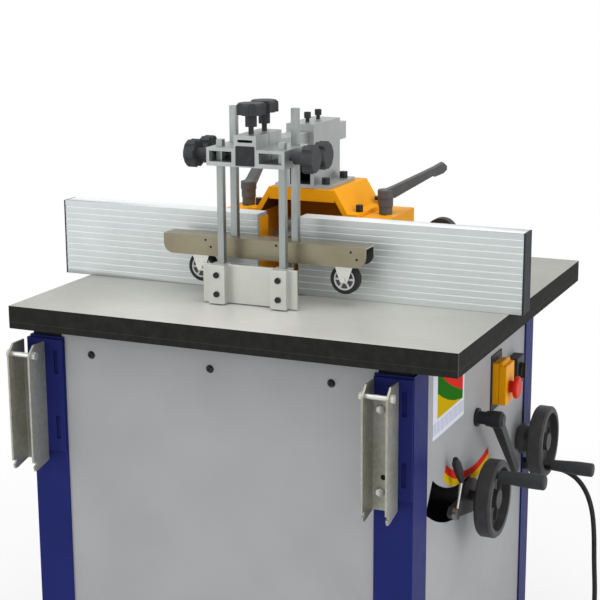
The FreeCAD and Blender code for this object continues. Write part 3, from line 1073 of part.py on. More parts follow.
places.update({
    "cheek_in": "cheek_half", "cheek_out": "cheek_in + cheek_thick", "cheek_front": "-cheek_front_reach",
    "cheek_high": "table_height - crescent_inner - cheek_step", "cheek_low": "shaft_z - cheek_below",
    "crescent_in": "cheek_out", "crescent_outer": "crescent_inner + crescent_depth",
    "guide_in": "cheek_out + guide_apart", "guide_out": "guide_in + guide_thick",
    "groove_end": "guide_in + guide_groove", "guide_low": "table_height - crescent_outer - guide_foot",
    "column_x": "slide_out", "column_y": "-slide_front",
    "lug_high": "cheek_high - lug_step", "lug_low": "lug_high - lug_thick",
    "quill_high": "cheek_high - quill_drop", "quill_low": "quill_high - quill_length",
    "quill_bore": "spindle_radius + quill_clear", "bearing_radius": "spindle_radius + bearing_wall",
    "quill_radius": "bearing_radius + quill_wall",
    "slide_lug_high": "lug_low - slide_lug_clear", "slide_lug_low": "slide_lug_high - slide_lug_height",
    "slide_lug_out": "column_x + column_radius + slide_lug_wall",
    "rack_out": "cheek_in - rack_apart", "rack_in": "rack_out - rack_width",
    "shaft_z": "table_height - slot_radius", "rack_low": "shaft_z - rack_below",
    "rack_high": "quill_low + rack_lap", "housing_end": "cab_right - post_wall + housing_reach",
    "spindle_low": "quill_low - spindle_tail", "nose_low": "quill_high + nose_gap",
    "nose_high": "table_height + nose_rise", "arbor_top": "table_height + arbor_reach",
    "spacer_radius": "arbor_radius + spacer_wall", "disc_radius": "spacer_radius + disc_reach",
    "disc_low": "table_height + disc_rise", "disc_high": "disc_low + disc_thick",
    "nut_radius": "arbor_radius + nut_wall", "nut_high": "disc_high + nut_thick",
    "pulley_low": "spindle_low + pulley_step", "pulley_high": "pulley_low + belt_height + 2 * pulley_edge",
    "belt_low": "pulley_low + pulley_edge", "belt_high": "belt_low + belt_height",
    "motor_y": "quill_radius + motor_apart + motor_radius",
    "motor_low": "pulley_high + motor_gap", "motor_high": "motor_low + motor_height",
    "motor_pad_front": "motor_y - motor_radius - motor_pad_step",
    "motor_pad_low": "motor_low + motor_pad_rise", "motor_pad_high": "motor_pad_low + motor_pad_height",
})


def both_sides(low, high):
    return [("left", mirror_x("left", low, high)), ("right", mirror_x("right", low, high))]


def tilt_guides():
    plates = []
    for side, x in both_sides("guide_in", "guide_out"):
        plate = box(side + "_guide_plate", x, ("-guide_half", "guide_half"), ("guide_low", under))
        span = mirror_x(side, "guide_in - overrun", "groove_end")
        ring = rod(side + "_guide_outer", "x", "crescent_outer + slide_gap", ("0", "table_height"), span)
        core = rod(side + "_guide_core", "x", "crescent_inner - slide_gap", ("0", "table_height"),
                   ("%s - overrun" % span[0], "%s + overrun" % span[1]))
        plates.append(cut(side + "_guide", plate, [cut(side + "_guide_groove", ring, [core])]))
    node("tilt_guides", group("tilt_guides", plates))


def trunnion():
    parts = [box("trunnion_floor", ("-cheek_out", "cheek_out"), ("cheek_front", "floor_back"),
                 ("cheek_low", "cheek_low + floor_thick"))]
    bores = []
    for side, x in both_sides("cheek_in", "cheek_out"):
        parts.append(box(side + "_cheek", x, ("cheek_front", "cheek_back"), ("cheek_low", "cheek_high")))
        span = mirror_x(side, "crescent_in - overrun", "groove_end - slide_gap")
        sector = doc.addObject("Part::Cylinder", side + "_sector")
        bind(sector, "Radius", "crescent_outer")
        bind(sector, "Height", "(%s) - (%s)" % (span[1], span[0]))
        bind(sector, "Angle", "crescent_sweep")
        turn = Rotation(Vector(1, 0, 0), size("crescent_start")).multiply(along_x)
        place(sector, span[0], "0", "table_height", turn)
        core = rod(side + "_sector_core", "x", "crescent_inner", ("0", "table_height"),
                   ("%s - overrun" % span[0], "%s + overrun" % span[1]))
        parts.append(cut(side + "_crescent", sector, [core]))
        parts.append(box(side + "_lug", mirror_x(side, "column_x - lug_reach", "cheek_in + overrun"),
                         ("column_y - lug_half", "column_y + lug_half"), ("lug_low", "lug_high")))
        sign = "-" if side == "left" else ""
        bores.append(rod(side + "_column_bore", "z", "column_radius + bush_fit",
                         (sign + "column_x", "column_y"),
                         ("lug_low - overrun", "lug_high + overrun")))
    bores.append(rod("shaft_bore", "x", "shaft_radius + bush_fit", ("0", "shaft_z"),
                     ("cheek_in - overrun", "cheek_out + overrun")))
    casting = cut("trunnion_body", fuse("trunnion_casting", parts), bores)
    columns = [rod("slide_column_" + key, "z", "column_radius", (sign + "column_x", "column_y"),
                   ("cheek_low + floor_thick", "lug_high")) for key, sign in (("left", "-"), ("right", ""))]
    barrel = rod("housing_tube", "x", "housing_radius", ("0", "shaft_z"), ("cheek_out", "housing_end"))
    flange = rod("housing_flange", "x", "flange_radius", ("0", "shaft_z"),
                 ("housing_end", "housing_end + flange_thick"))
    lug = extrusion("housing_lug", "YZ_Plane", [[
        ("0", "shaft_z + index_hub"), ("index_y", "index_z + index_hub"),
        ("index_y - index_hub", "index_z"),
        ("index_y", "index_z - index_hub"), ("0", "shaft_z - flange_radius")]],
        ("housing_end", "housing_end + flange_thick"))
    hole = rod("housing_bore", "x", "shaft_radius + bush_fit", ("0", "shaft_z"),
               ("cheek_out - overrun", "housing_end + flange_thick + overrun"))
    pivot = rod("index_pivot_hole", "x", "index_pivot + stud_fit", ("index_y", "index_z"),
                ("housing_end - overrun", "housing_end + flange_thick + overrun"))
    housing = cut("shaft_housing", fuse("housing_form", [barrel, flange, lug]), [hole, pivot])
    node("trunnion", group("trunnion", [casting, housing] + columns))


def quill():
    barrel = rod("quill_barrel", "z", "quill_radius", ("0", "0"), ("quill_low", "quill_high"))
    parts = [barrel]
    cuts = [rod("quill_through", "z", "quill_bore", ("0", "0"),
                ("quill_low - overrun", "quill_high + overrun"))]
    for end, span in (("low", ("quill_low - overrun", "quill_low + bearing_width")),
                      ("high", ("quill_high - bearing_width", "quill_high + overrun"))):
        cuts.append(rod("bearing_seat_" + end, "z", "bearing_radius", ("0", "0"), span))
    for side, x in both_sides("quill_bore + overrun", "slide_lug_out"):
        parts.append(box(side + "_slide_lug", x, ("column_y - slide_lug_half", "column_y + slide_lug_half"),
                         ("slide_lug_low", "slide_lug_high")))
        sign = "-" if side == "left" else ""
        cuts.append(rod(side + "_slide_bore", "z", "column_radius + bush_fit",
                        (sign + "column_x", "column_y"),
                        ("slide_lug_low - overrun", "slide_lug_high + overrun")))
    rack_front = "pinion_radius + pinion_gap"
    parts.append(box("rack_bar", ("rack_in", "rack_out"), (rack_front, rack_front + " + rack_depth"),
                     ("rack_low", "rack_high")))
    parts.append(box("rack_bridge_block", ("quill_bore + overrun", "rack_out"),
                     ("column_y + slide_lug_half - overrun", rack_front + " + rack_depth"),
                     ("rack_high - rack_bridge", "rack_high")))
    parts.append(box("motor_bracket", ("-motor_pad_half", "motor_pad_half"),
                     ("quill_bore + overrun", "motor_pad_front"),
                     ("motor_pad_low", "motor_pad_high")))
    pieces = [cut("quill_body", fuse("quill_casting", parts), cuts)]
    for end, low in (("low", "quill_low"), ("high", "quill_high - bearing_width")):
        pieces.append(turned("spindle_bearing_" + end, "z", [
            ("spindle_radius + bearing_fit", "0"), ("bearing_radius - bearing_fit", "0"),
            ("bearing_radius - bearing_fit", "bearing_width"),
            ("spindle_radius + bearing_fit",
            "bearing_width")],
            ("0", "0"), low))
    node("quill", group("quill", pieces))


def spindle():
    def up(level):
        return "%s - spindle_low" % level
    shaft = turned("spindle_shaft", "z", [
        ("0", "0"), ("spindle_radius", "0"), ("spindle_radius", up("nose_low")),
        ("nose_radius", up("nose_low")),
        ("nose_radius", up("nose_high")), ("arbor_radius", up("nose_high")),
        ("arbor_radius", up("arbor_top")),
        ("0", up("arbor_top"))], ("0", "0"), "spindle_low")
    driven = pulley("spindle_pulley", "spindle_radius + pulley_fit", "spindle_pulley", ("0", "0"))
    node("spindle", group("spindle", [shaft, driven]))

    def ring(name, radius, low, high):
        return turned(name, "z", [
            ("arbor_radius + ring_fit_arbor", "0"), (radius, "0"), (radius, "%s - %s" % (high, low)),
            ("arbor_radius + ring_fit_arbor", "%s - %s" % (high, low))], ("0", "0"), low)
    rings = [ring("lower_spacers", "spacer_radius", "nose_high", "(nose_high + disc_low) / 2"),
             ring("upper_spacers", "spacer_radius", "(nose_high + disc_low) / 2", "disc_low"),
             ring("spindle_disc", "disc_radius", "disc_low", "disc_high")]
    nut = hexagon("nut_form", "z", "nut_radius", ("0", "0"), ("disc_high", "nut_high"))
    hole = rod("nut_bore", "z", "arbor_radius + ring_fit_arbor", ("0", "0"),
               ("disc_high - overrun", "nut_high + overrun"))
    node("spacer_rings", group("spacer_rings", rings + [cut("spindle_nut", nut, [hole])]))


def pulley(name, bore, radius, centre):
    """Flanged belt pulley whose groove holds the belt with a little room."""
    tall = "pulley_high - pulley_low"
    low, high = "belt_low - pulley_low - belt_gap", "belt_high - pulley_low + belt_gap"
    return turned(name, "z", [
        (bore, "0"), (radius + " + pulley_rim", "0"), (radius + " + pulley_rim", low), (radius, low),
        (radius, high), (radius + " + pulley_rim", high), (radius + " + pulley_rim", tall), (bore, tall)],
        centre, "pulley_low")


def motor_and_belt():
    drive = pulley("drive_pulley", "motor_shaft / 2", "motor_pulley", ("0", "motor_y"))
    can = turned("motor_can", "z", [
        ("0", "0"), ("motor_radius - motor_rim", "0"), ("motor_radius", "motor_rim"),
        ("motor_radius", "motor_high - motor_low - 2 * motor_rim"),
        ("motor_radius - motor_rim", "motor_high - motor_low"), ("0", "motor_high - motor_low")],
        ("0", "motor_y"), "motor_low")
    pad = box("motor_pad", ("-motor_pad_half", "motor_pad_half"), ("motor_pad_front", "motor_y"),
              ("motor_pad_low", "motor_pad_high"))
    node("motor", fuse("motor", [can, pad]))
    shaft = rod("motor_shaft_end", "z", "motor_shaft", ("0", "motor_y"), ("pulley_low", "motor_low"))
    node("motor_pulley", fuse("motor_pulley_form", [drive, shaft]))
    near = size("spindle_pulley + belt_gap")
    far = size("motor_pulley + belt_gap")
    reach = size("motor_y")
    low, high = size("belt_low"), size("belt_high")

    def loop(extra):
        r1, r2 = near + extra, far + extra
        lean = math.asin((r2 - r1) / reach)
        side, back = math.cos(lean), -math.sin(lean)
        corners = [Vector(r1 * side, r1 * back, low), Vector(r2 * side, reach + r2 * back, low),
                   Vector(-r2 * side, reach + r2 * back, low), Vector(-r1 * side, r1 * back, low)]
        edges = [Part.LineSegment(corners[0], corners[1]),
                 Part.Arc(corners[1], Vector(0, reach + r2, low), corners[2]),
                 Part.LineSegment(corners[2], corners[3]),
                 Part.Arc(corners[3], Vector(0, -r1, low), corners[0])]
        return Part.Face(Part.Wire([edge.toShape() for edge in edges])).extrude(Vector(0, 0, high - low))
    belt = doc.addObject("Part::Feature", "drive_belt")
    belt.Shape = loop(size("belt_thick")).cut(loop(0))
    node("drive_belt", belt)


# Handwheels, their handles and the small index lever.
wheel_sizes = {
    "wheel_gap": 24, "wheel_depth": 33, "wheel_radius": 77, "wheel_rim": 14, "wheel_web_start": 8,
    "wheel_web": 9, "wheel_hub_wall": 9, "wheel_hub": 30, "wheel_hole_radius": 13, "wheel_hole_reach": 42,
    "wheel_chamfer": 4, "handle_gap": 3, "handle_length": 92, "handle_radius": 15, "handle_neck": 11.5,
    "handle_pin": 5, "handle_fit": 0.05, "handle_swell": 56, "handle_round": 3,
    "handle_cap": 16,
    "height_handle_y": -24, "height_handle_z": 55, "tilt_handle_y": 8, "tilt_handle_z": -55,
    "gearbox_length": 50, "gearbox_half": 34, "tilt_foot_radius": 26, "tilt_foot": 7,
    "tilt_flange_radius": 33, "tilt_flange_thick": 12, "tilt_flange_length": 31,
    "flange_nose_share": 0.7,
    "index_reach": 122, "index_rise": 5, "index_hub": 11, "index_pivot": 4, "index_gap": 0.3,
    "index_thick": 10,
    "index_stem_radius": 3.5, "index_stem": 63, "index_stem_angle": -28, "index_grip_radius": 9,
    "index_grip": 70, "index_grip_angle": 35, "index_grip_end": 5, "index_grip_wide": 30,
}
add_sizes(wheel_sizes)
places.update({
    "wheel_back": "housing_end + flange_thick + wheel_gap",
    "wheel_hub_radius": "shaft_radius + wheel_hub_wall",
    "index_y": "-index_reach", "index_z": "shaft_z + index_rise",
})


def handwheel(name, y, z, handle_y, handle_z, inner_end):
    rim_inner = "wheel_radius - wheel_rim"
    web_end = "wheel_web_start + wheel_web"
    form = turned(name + "_form", "x", [
        ("shaft_radius / 2", "wheel_web_start"), ("wheel_hub_radius", "wheel_web_start"),
        (rim_inner, "wheel_web_start"),
        (rim_inner, "0"), ("wheel_radius - wheel_chamfer", "0"), ("wheel_radius", "wheel_chamfer"),
        ("wheel_radius", "wheel_depth - wheel_chamfer"), ("wheel_radius - wheel_chamfer", "wheel_depth"),
        (rim_inner, "wheel_depth"), (rim_inner, web_end), ("wheel_hub_radius", web_end),
        ("wheel_hub_radius", "wheel_hub"), ("shaft_radius / 2", "wheel_hub")], (y, z), "wheel_back")
    shaft = rod(name + "_shaft", "x", "shaft_radius", (y, z), (inner_end, "wheel_back + wheel_hub"))
    tip = "wheel_back + wheel_depth + handle_gap + handle_length"
    pin_spot = ("%s + %s" % (y, handle_y), "%s + %s" % (z, handle_z))
    pin = rod(name + "_pin", "x", "handle_pin", pin_spot,
              ("wheel_back + wheel_web_start", tip + " - handle_cap"))
    holes = []
    lead = math.atan2(size(handle_z), size(handle_y))
    for step in (1, 2, 3):
        angle = lead + math.radians(90 * step)
        spot = ("%s + wheel_hole_reach * %.6f" % (y, math.cos(angle)),
                "%s + wheel_hole_reach * %.6f" % (z, math.sin(angle)))
        holes.append(rod("%s_hole_%d" % (name, step), "x", "wheel_hole_radius", spot,
                         ("wheel_back", "wheel_back + wheel_depth")))
    parts = [cut(name + "_disc", form, holes), shaft, pin]
    if name == "height_wheel":
        parts.append(rod("height_pinion", "x", "pinion_radius", (y, z), ("rack_in", "rack_out")))
    node(name, fuse(name, parts))
    bore = "handle_pin + handle_fit"
    end = "handle_length - handle_cap"
    handle = turned(name + "_handle", "x", [
        (bore, "0"), ("handle_neck", "0"), ("handle_radius", "handle_swell"),
        ("handle_radius", "handle_length - handle_round"),
        ("handle_radius - handle_round", "handle_length"),
        ("0", "handle_length"), ("0", end + " + handle_fit"),
        (bore, end + " + handle_fit")], pin_spot, "wheel_back + wheel_depth + handle_gap")
    node(name + "_handle", handle)


def wheels():
    handwheel("height_wheel", "0", "shaft_z", "height_handle_y", "height_handle_z", "rack_in")
    inner = side_face + " - panel_thick"
    handwheel("tilt_wheel", "tilt_wheel_y", "tilt_wheel_z", "tilt_handle_y", "tilt_handle_z",
              inner + " - gearbox_length / 2")
    case = box("gearbox_case", (inner + " - gearbox_length", inner),
               ("tilt_wheel_y - gearbox_half", "tilt_wheel_y + gearbox_half"),
               ("tilt_wheel_z - gearbox_half", "tilt_wheel_z + gearbox_half"))
    bore = rod("gearbox_bore", "x", "shaft_radius + bush_fit", ("tilt_wheel_y", "tilt_wheel_z"),
               (inner + " - gearbox_length / 2", inner + " + overrun"))
    side_bearings.append(cut("tilt_gearbox", case, [bore]))
    side_bearings.append(turned("tilt_flange", "x", [
        ("shaft_radius + shaft_clear", "0"), ("tilt_foot_radius", "0"), ("tilt_foot_radius", "tilt_foot"),
        ("tilt_flange_radius", "tilt_foot"), ("tilt_flange_radius", "tilt_foot + tilt_flange_thick"),
        ("tilt_flange_radius * flange_nose_share", "tilt_flange_length"),
        ("shaft_radius + shaft_clear", "tilt_flange_length")], ("tilt_wheel_y", "tilt_wheel_z"), side_face))
    node("side_bearings", group("side_bearings", side_bearings))


def index_lever():
    front = "housing_end + flange_thick + index_gap"
    hub = rod("index_hub_disc", "x", "index_hub", ("index_y", "index_z"), (front, front + " + index_thick"))
    pivot = rod("index_pivot_pin", "x", "index_pivot", ("index_y", "index_z"), ("housing_end", front))
    middle = front + " + index_thick / 2"
    stem = rod("index_stem_bar", "z", "index_stem_radius", ("0", "0"), ("0", "index_stem"))
    place(stem, middle, "index_y", "index_z", Rotation(Vector(1, 0, 0), size("index_stem_angle")))
    stem_lean = math.radians(size("index_stem_angle"))
    grip = turned("index_grip_bar", "z", [
        ("0", "0"), ("index_grip_end", "0"), ("index_grip_radius", "index_grip_wide"),
        ("index_grip_radius", "index_grip - index_grip_wide / 2"),
        ("index_grip_end", "index_grip"), ("0", "index_grip")], ("0", "0"), "0")
    place(grip, middle, "index_y - index_stem * %.6f" % math.sin(stem_lean),
          "index_z + index_stem * %.6f" % math.cos(stem_lean),
          Rotation(Vector(1, 0, 0), size("index_grip_angle")))
    node("index_lever", fuse("index_lever", [hub, pivot, stem, grip]))


# Mains lead: gland on the rear post, hanging stretch, put-away coil and plug.
lead_sizes = {
    "cord_radius": 5.5, "gland_inset": 40, "gland_z": 412, "gland_nut": 14, "gland_nut_length": 10,
    "gland_length": 35, "gland_tip": 8, "gland_sleeve_share": 0.8,
    "coil_radius": 78, "coil_pitch": 11.6, "coil_rise": 11.6, "coil_x": 463, "coil_y": 296,
    "coil_floor": 0.3, "coil_tail": 60, "plug_width": 34, "plug_height": 34, "plug_length": 62,
    "plug_pin_radius": 2.4, "plug_pin_spread": 9.5, "plug_pin_length": 19, "plug_floor": 0.3,
}
add_sizes(lead_sizes)
places.update({"gland_y": "cab_rear - gland_inset"})
coil_turns = 3
cord_route = [(410, 415, 412), (447, 415, 412), (488, 415, 402), (519, 415, 375), (537, 415.5, 334),
              (542, 417, 280), (541, 420, 205), (542.5, 423, 125), (542, 417, 66), (541.5, 389, 29),
              (541, 348, 17.4), (541, 307.5, 17.4)]


def tube(path, radius):
    """Solid of a round section carried along a tangent path."""
    first = path.OrderedEdges[0]
    start = first.valueAt(first.FirstParameter)
    heading = first.tangentAt(first.FirstParameter)
    ring = Part.Wire([Part.Circle(start, heading, radius).toShape()])
    shell = Part.BRepOffsetAPI.MakePipeShell(path)
    shell.add(ring)
    shell.build()
    shell.makeSolid()
    return shell.shape()


def rounded_route(points):
    """Straight runs joined by tangent arcs, each as large as its two runs allow."""
    spots = [Vector(*point) for point in points]
    edges = []
    here = spots[0]
    radii = []
    for before, corner, after in zip(spots, spots[1:], spots[2:]):
        into = (corner - before).normalize()
        out = (after - corner).normalize()
        turn = into.getAngle(out)
        shorter = min((corner - before).Length, (after - corner).Length)
        back = 0.45 * shorter
        radii.append(back / math.tan(turn / 2))
        enter, leave = corner - into * back, corner + out * back
        middle = corner + (out - into).normalize() * (radii[-1] / math.cos(turn / 2) - radii[-1])
        edges.append(Part.LineSegment(here, enter).toShape())
        edges.append(Part.Arc(enter, middle, leave).toShape())
        here = leave
    edges.append(Part.LineSegment(here, spots[-1]).toShape())
    print("cord arc radii, mm:", ", ".join("%.0f" % radius for radius in radii))
    return Part.Wire(edges)


def coil_path():
    """Spiral of half turns: in on the floor, a climb at the middle, and out again on top."""
    outer, pitch = size("coil_radius"), size("coil_pitch")
    low = size("cord_radius + coil_floor")
    high = low + size("coil_rise")
    middle_x, middle_y = size("coil_x"), size("coil_y")

    def spot(x, y, z):
        return Vector(middle_x + x, middle_y + y, z)
    half_turns = 4 * coil_turns
    edges = [Part.LineSegment(spot(outer, -size("coil_tail"), low), spot(outer, 0, low)).toShape()]
    x = outer
    for number in range(half_turns):
        inward = number < 2 * coil_turns
        step = number if inward else half_turns - number
        radius = outer - step * pitch / 2
        side = 1 if number % 2 == 0 else -1
        end = x - 2 * radius * side
        climbing = number == 2 * coil_turns
        z0 = low if number <= 2 * coil_turns else high
        z1 = high if climbing else z0
        top = spot((x + end) / 2, radius * side, (z0 + z1) / 2)
        edges.append(Part.Arc(spot(x, 0, z0), top, spot(end, 0, z1)).toShape())
        x = end
    edges.append(Part.LineSegment(spot(x, 0, high), spot(x, 2 * size("cord_radius"), high)).toShape())
    return Part.Wire(edges)


def least_gap(path, radius):
    """Smallest clear distance of a tube to itself, measured on points past a quarter turn along."""
    spots = path.discretize(Number=900)
    step = path.Length / (len(spots) - 1)
    skip = int(size("coil_radius") / step)
    nearest = min((first - second).Length for index, first in enumerate(spots)
                  for second in spots[index + skip:])
    return nearest - 2 * radius


def mains_lead():
    radius = size("cord_radius")
    path = rounded_route(cord_route)
    lead = doc.addObject("Part::Feature", "mains_lead")
    lead.Shape = tube(path, radius)
    print("lead length %.1f mm, volume share %.4f" % (
        path.Length, lead.Shape.Volume / (math.pi * radius ** 2 * path.Length)))
    node("mains_lead", lead)
    winding = coil_path()
    coil = doc.addObject("Part::Feature", "lead_coil")
    coil.Shape = tube(winding, radius)
    print("coil length %.1f mm, least gap %.2f mm, volume share %.4f" % (
        winding.Length, least_gap(winding, radius),
        coil.Shape.Volume / (math.pi * radius ** 2 * winding.Length)))
    node("lead_coil", coil)
    seat = ("gland_y", "gland_z")
    nut = hexagon("gland_nut_form", "x", "gland_nut", seat, between("cab_right", 1, "gland_nut_length"))
    sleeve = doc.addObject("Part::Cone", "gland_sleeve")
    bind(sleeve, "Radius1", "gland_nut * gland_sleeve_share")
    bind(sleeve, "Radius2", "gland_tip")
    bind(sleeve, "Height", "gland_length - gland_nut_length")
    stand(sleeve, "x", seat, "cab_right + gland_nut_length")
    node("cable_gland", fuse("cable_gland", [nut, sleeve]))
    x = ("coil_x + coil_radius - plug_width / 2", "coil_x + coil_radius + plug_width / 2")
    front = "coil_y - coil_tail"
    body = box("plug_body", x, (front + " - plug_length", front),
               ("plug_floor", "plug_floor + plug_height"))
    pins = []
    for sign in ("-", "+"):
        pins.append(rod("plug_pin_" + ("left" if sign == "-" else "right"), "y", "plug_pin_radius",
                        ("coil_x + coil_radius %s plug_pin_spread" % sign, "plug_floor + plug_height / 2"),
                        (front + " - plug_length - plug_pin_length", front + " - plug_length")))
    node("mains_plug", fuse("mains_plug", [body] + pins))


cabinet_frame()
table()
panels()
door()
switch_and_selector()
lock_lever()
hanger_brackets()
fences()
fence_carriers()
extraction_base()
hood()
clamp_levers()
fence_adjuster()
column()
arm()
clamp_blocks()
guard_knobs()
shoe()
roller_bar()
tilt_guides()
trunnion()
quill()
spindle()
motor_and_belt()
wheels()
index_lever()
mains_lead()
doc.recompute()

failed = [item.Name for item in doc.Objects if {"Invalid", "Error"} & set(item.State)]
if failed:
    raise RuntimeError("failed objects: " + ", ".join(failed))
for name, obj in nodes.items():
    if obj.Shape.isNull() or not obj.Shape.isValid() or not obj.Shape.Solids:
        raise RuntimeError("bad shape: " + name)
os.makedirs("parts", exist_ok=True)
for name, obj in nodes.items():
    obj.Shape.exportStep("parts/%s.step" % name)
print(len(nodes), "nodes written")
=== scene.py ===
import json
import math

import bmesh
import bpy
from mathutils import Matrix, Vector

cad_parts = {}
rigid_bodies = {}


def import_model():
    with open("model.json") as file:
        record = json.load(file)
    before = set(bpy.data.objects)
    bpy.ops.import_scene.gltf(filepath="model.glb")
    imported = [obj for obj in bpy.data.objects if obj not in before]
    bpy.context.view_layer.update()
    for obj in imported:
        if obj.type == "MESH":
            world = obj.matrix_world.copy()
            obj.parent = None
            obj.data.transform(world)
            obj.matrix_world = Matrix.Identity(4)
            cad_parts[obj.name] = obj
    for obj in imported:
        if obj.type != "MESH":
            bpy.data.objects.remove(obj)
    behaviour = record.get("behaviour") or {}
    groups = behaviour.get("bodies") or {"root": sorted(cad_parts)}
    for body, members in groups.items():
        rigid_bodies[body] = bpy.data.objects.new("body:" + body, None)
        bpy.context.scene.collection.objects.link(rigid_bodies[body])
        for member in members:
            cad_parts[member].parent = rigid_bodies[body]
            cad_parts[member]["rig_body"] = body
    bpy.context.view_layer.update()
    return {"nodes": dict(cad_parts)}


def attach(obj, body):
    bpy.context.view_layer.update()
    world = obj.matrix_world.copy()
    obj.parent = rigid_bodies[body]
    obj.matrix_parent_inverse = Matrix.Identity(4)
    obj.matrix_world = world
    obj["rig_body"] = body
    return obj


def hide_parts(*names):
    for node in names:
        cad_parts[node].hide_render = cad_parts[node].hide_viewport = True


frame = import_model()
nodes = frame["nodes"]
collection = bpy.context.scene.collection
print("frame loaded:", len(nodes), "nodes")


class Wire:  # one shader socket that takes part in sums
    def __init__(self, paint, socket):
        self.paint = paint
        self.socket = socket

    def maths(self, operation, other, swapped=False):
        first, second = (other, self) if swapped else (self, other)
        return self.paint.node("ShaderNodeMath", {"operation": operation}, {0: first, 1: second})

    def __add__(self, other):
        return self.maths("ADD", other)

    def __sub__(self, other):
        return self.maths("SUBTRACT", other)

    def __rsub__(self, other):
        return self.maths("SUBTRACT", other, True)

    def __mul__(self, other):
        return self.maths("MULTIPLY", other)

    def __gt__(self, other):
        return self.maths("GREATER_THAN", other)

    def __lt__(self, other):
        return self.maths("LESS_THAN", other)

    def most(self, other):
        return self.maths("MAXIMUM", other)

    __radd__ = __add__
    __rmul__ = __mul__


class Paint:  # one material with its nodes
    def __init__(self, name, metallic=0.0, shine=0.5):
        self.material = bpy.data.materials.new(name)
        self.material.use_nodes = True
        self.tree = self.material.node_tree
        self.shader = self.tree.nodes["Principled BSDF"]
        self.shader.inputs["Metallic"].default_value = metallic
        self.shader.inputs["Specular IOR Level"].default_value = shine

    def plug(self, socket, value):
        if isinstance(value, Wire):
            self.tree.links.new(value.socket, socket)
        else:
            socket.default_value = value

    def node(self, kind, settings=None, inputs=None, output=0):
        made = self.tree.nodes.new(kind)
        for key, value in (settings or {}).items():
            setattr(made, key, value)
        for key, value in (inputs or {}).items():
            self.plug(made.inputs[key], value)
        return Wire(self, made.outputs[output])

    def place(self, stretch=(1, 1, 1), centre=(0, 0, 0)):
        spot = self.node("ShaderNodeTexCoord", output="Object")
        return self.node("ShaderNodeMapping", {"vector_type": "POINT"},
                         {"Vector": spot, "Location": centre, "Scale": stretch})

    def axes(self, vector):
        split = self.tree.nodes.new("ShaderNodeSeparateXYZ")
        self.plug(split.inputs[0], vector)
        return [Wire(self, output) for output in split.outputs]

    def reach(self, first, second):  # distance from where both are nought
        return self.node("ShaderNodeMath", {"operation": "SQRT"}, {0: first * first + second * second})

    def facing(self):
        return self.axes(self.node("ShaderNodeNewGeometry", output="True Normal"))

    def noise(self, scale, detail=3.0, rough=0.5, stretch=(1, 1, 1)):
        return self.node("ShaderNodeTexNoise", {}, {"Vector": self.place(stretch), "Scale": scale,
                                                    "Detail": detail, "Roughness": rough})

    def spread(self, value, low, high, start=0.0, end=1.0):
        return self.node("ShaderNodeMapRange", {"clamp": True},
                         {0: value, 1: start, 2: end, 3: low, 4: high})

    def mix(self, amount, first, second):
        return self.node("ShaderNodeMix", {"data_type": "RGBA"}, {0: amount, 6: first, 7: second}, output=2)

    def bump(self, height, distance):
        normal = self.node("ShaderNodeBump", {}, {"Height": height, "Distance": distance, "Strength": 1.0})
        self.plug(self.shader.inputs["Normal"], normal)

    def finish(self, colour, rough):
        self.plug(self.shader.inputs["Base Color"], colour)
        self.plug(self.shader.inputs["Roughness"], rough)
        return self.material


def rgb(red, green, blue):
    return (red, green, blue, 1.0)


def sprayedPaint(name, colour, shade, rough=0.42, peel=0.00004, shine=0.06):
    paint = Paint(name, shine=shine)
    drift = paint.spread(paint.noise(6, 2), 0, 1, 0.35, 0.7)
    tone = paint.mix(drift, rgb(*colour), rgb(*shade))
    paint.bump(paint.noise(620, 2), peel)
    return paint.finish(tone, paint.spread(paint.noise(40, 3), rough - 0.05, rough + 0.08))


def tumbledCasting(name, colour, shade, rough=0.42, metallic=0.75):
    paint = Paint(name, metallic=metallic)
    cloud = paint.spread(paint.noise(22, 4), 0, 1, 0.3, 0.75)
    grain = paint.noise(1500, 2)
    paint.bump(grain, 0.00006)
    return paint.finish(paint.mix(cloud, rgb(*colour), rgb(*shade)),
                        paint.spread(grain, rough - 0.08, rough + 0.1))


def brushedMetal(name, colour, shade, stretch, rough=0.34, metallic=0.9):
    paint = Paint(name, metallic=metallic)
    lines = paint.noise(900, 3, 0.6, stretch)
    cloud = paint.spread(paint.noise(14, 3), 0, 1, 0.3, 0.75)
    tone = paint.mix(cloud, rgb(*colour), rgb(*shade))
    paint.bump(lines, 0.00003)
    return paint.finish(tone, paint.spread(lines, rough - 0.1, rough + 0.14, 0.3, 0.7))


def grainedPlastic(name, colour, worn, rough=0.48, grain=0.00005):
    paint = Paint(name, shine=0.22)
    pits = paint.noise(1300, 2)
    rub = paint.spread(paint.noise(55, 4), 0, 1, 0.5, 0.8)
    paint.bump(pits, grain)
    tone = paint.mix(rub, rgb(*colour), rgb(*worn))
    return paint.finish(tone, paint.spread(pits, rough - 0.08, rough + 0.1))


def glossMoulding(name, colour, shade, rough=0.28):
    paint = Paint(name, shine=0.05)
    drift = paint.spread(paint.noise(30, 2), 0, 1, 0.35, 0.7)
    paint.bump(paint.noise(900, 2), 0.00002)
    tone = paint.mix(drift, rgb(*colour), rgb(*shade))
    return paint.finish(tone, paint.spread(paint.noise(80), rough, rough + 0.1))


# painted light: the table top is painted lighter round a centre and darker towards its edges, partly as
# rubbed wear and partly as light
tableTop = {"rubAndLightAt": (0.03, -0.28), "rubAndLightReach": (0.10, 0.55), "drift": 0.14,
            "castLine": (0.8376, 0.8384)}


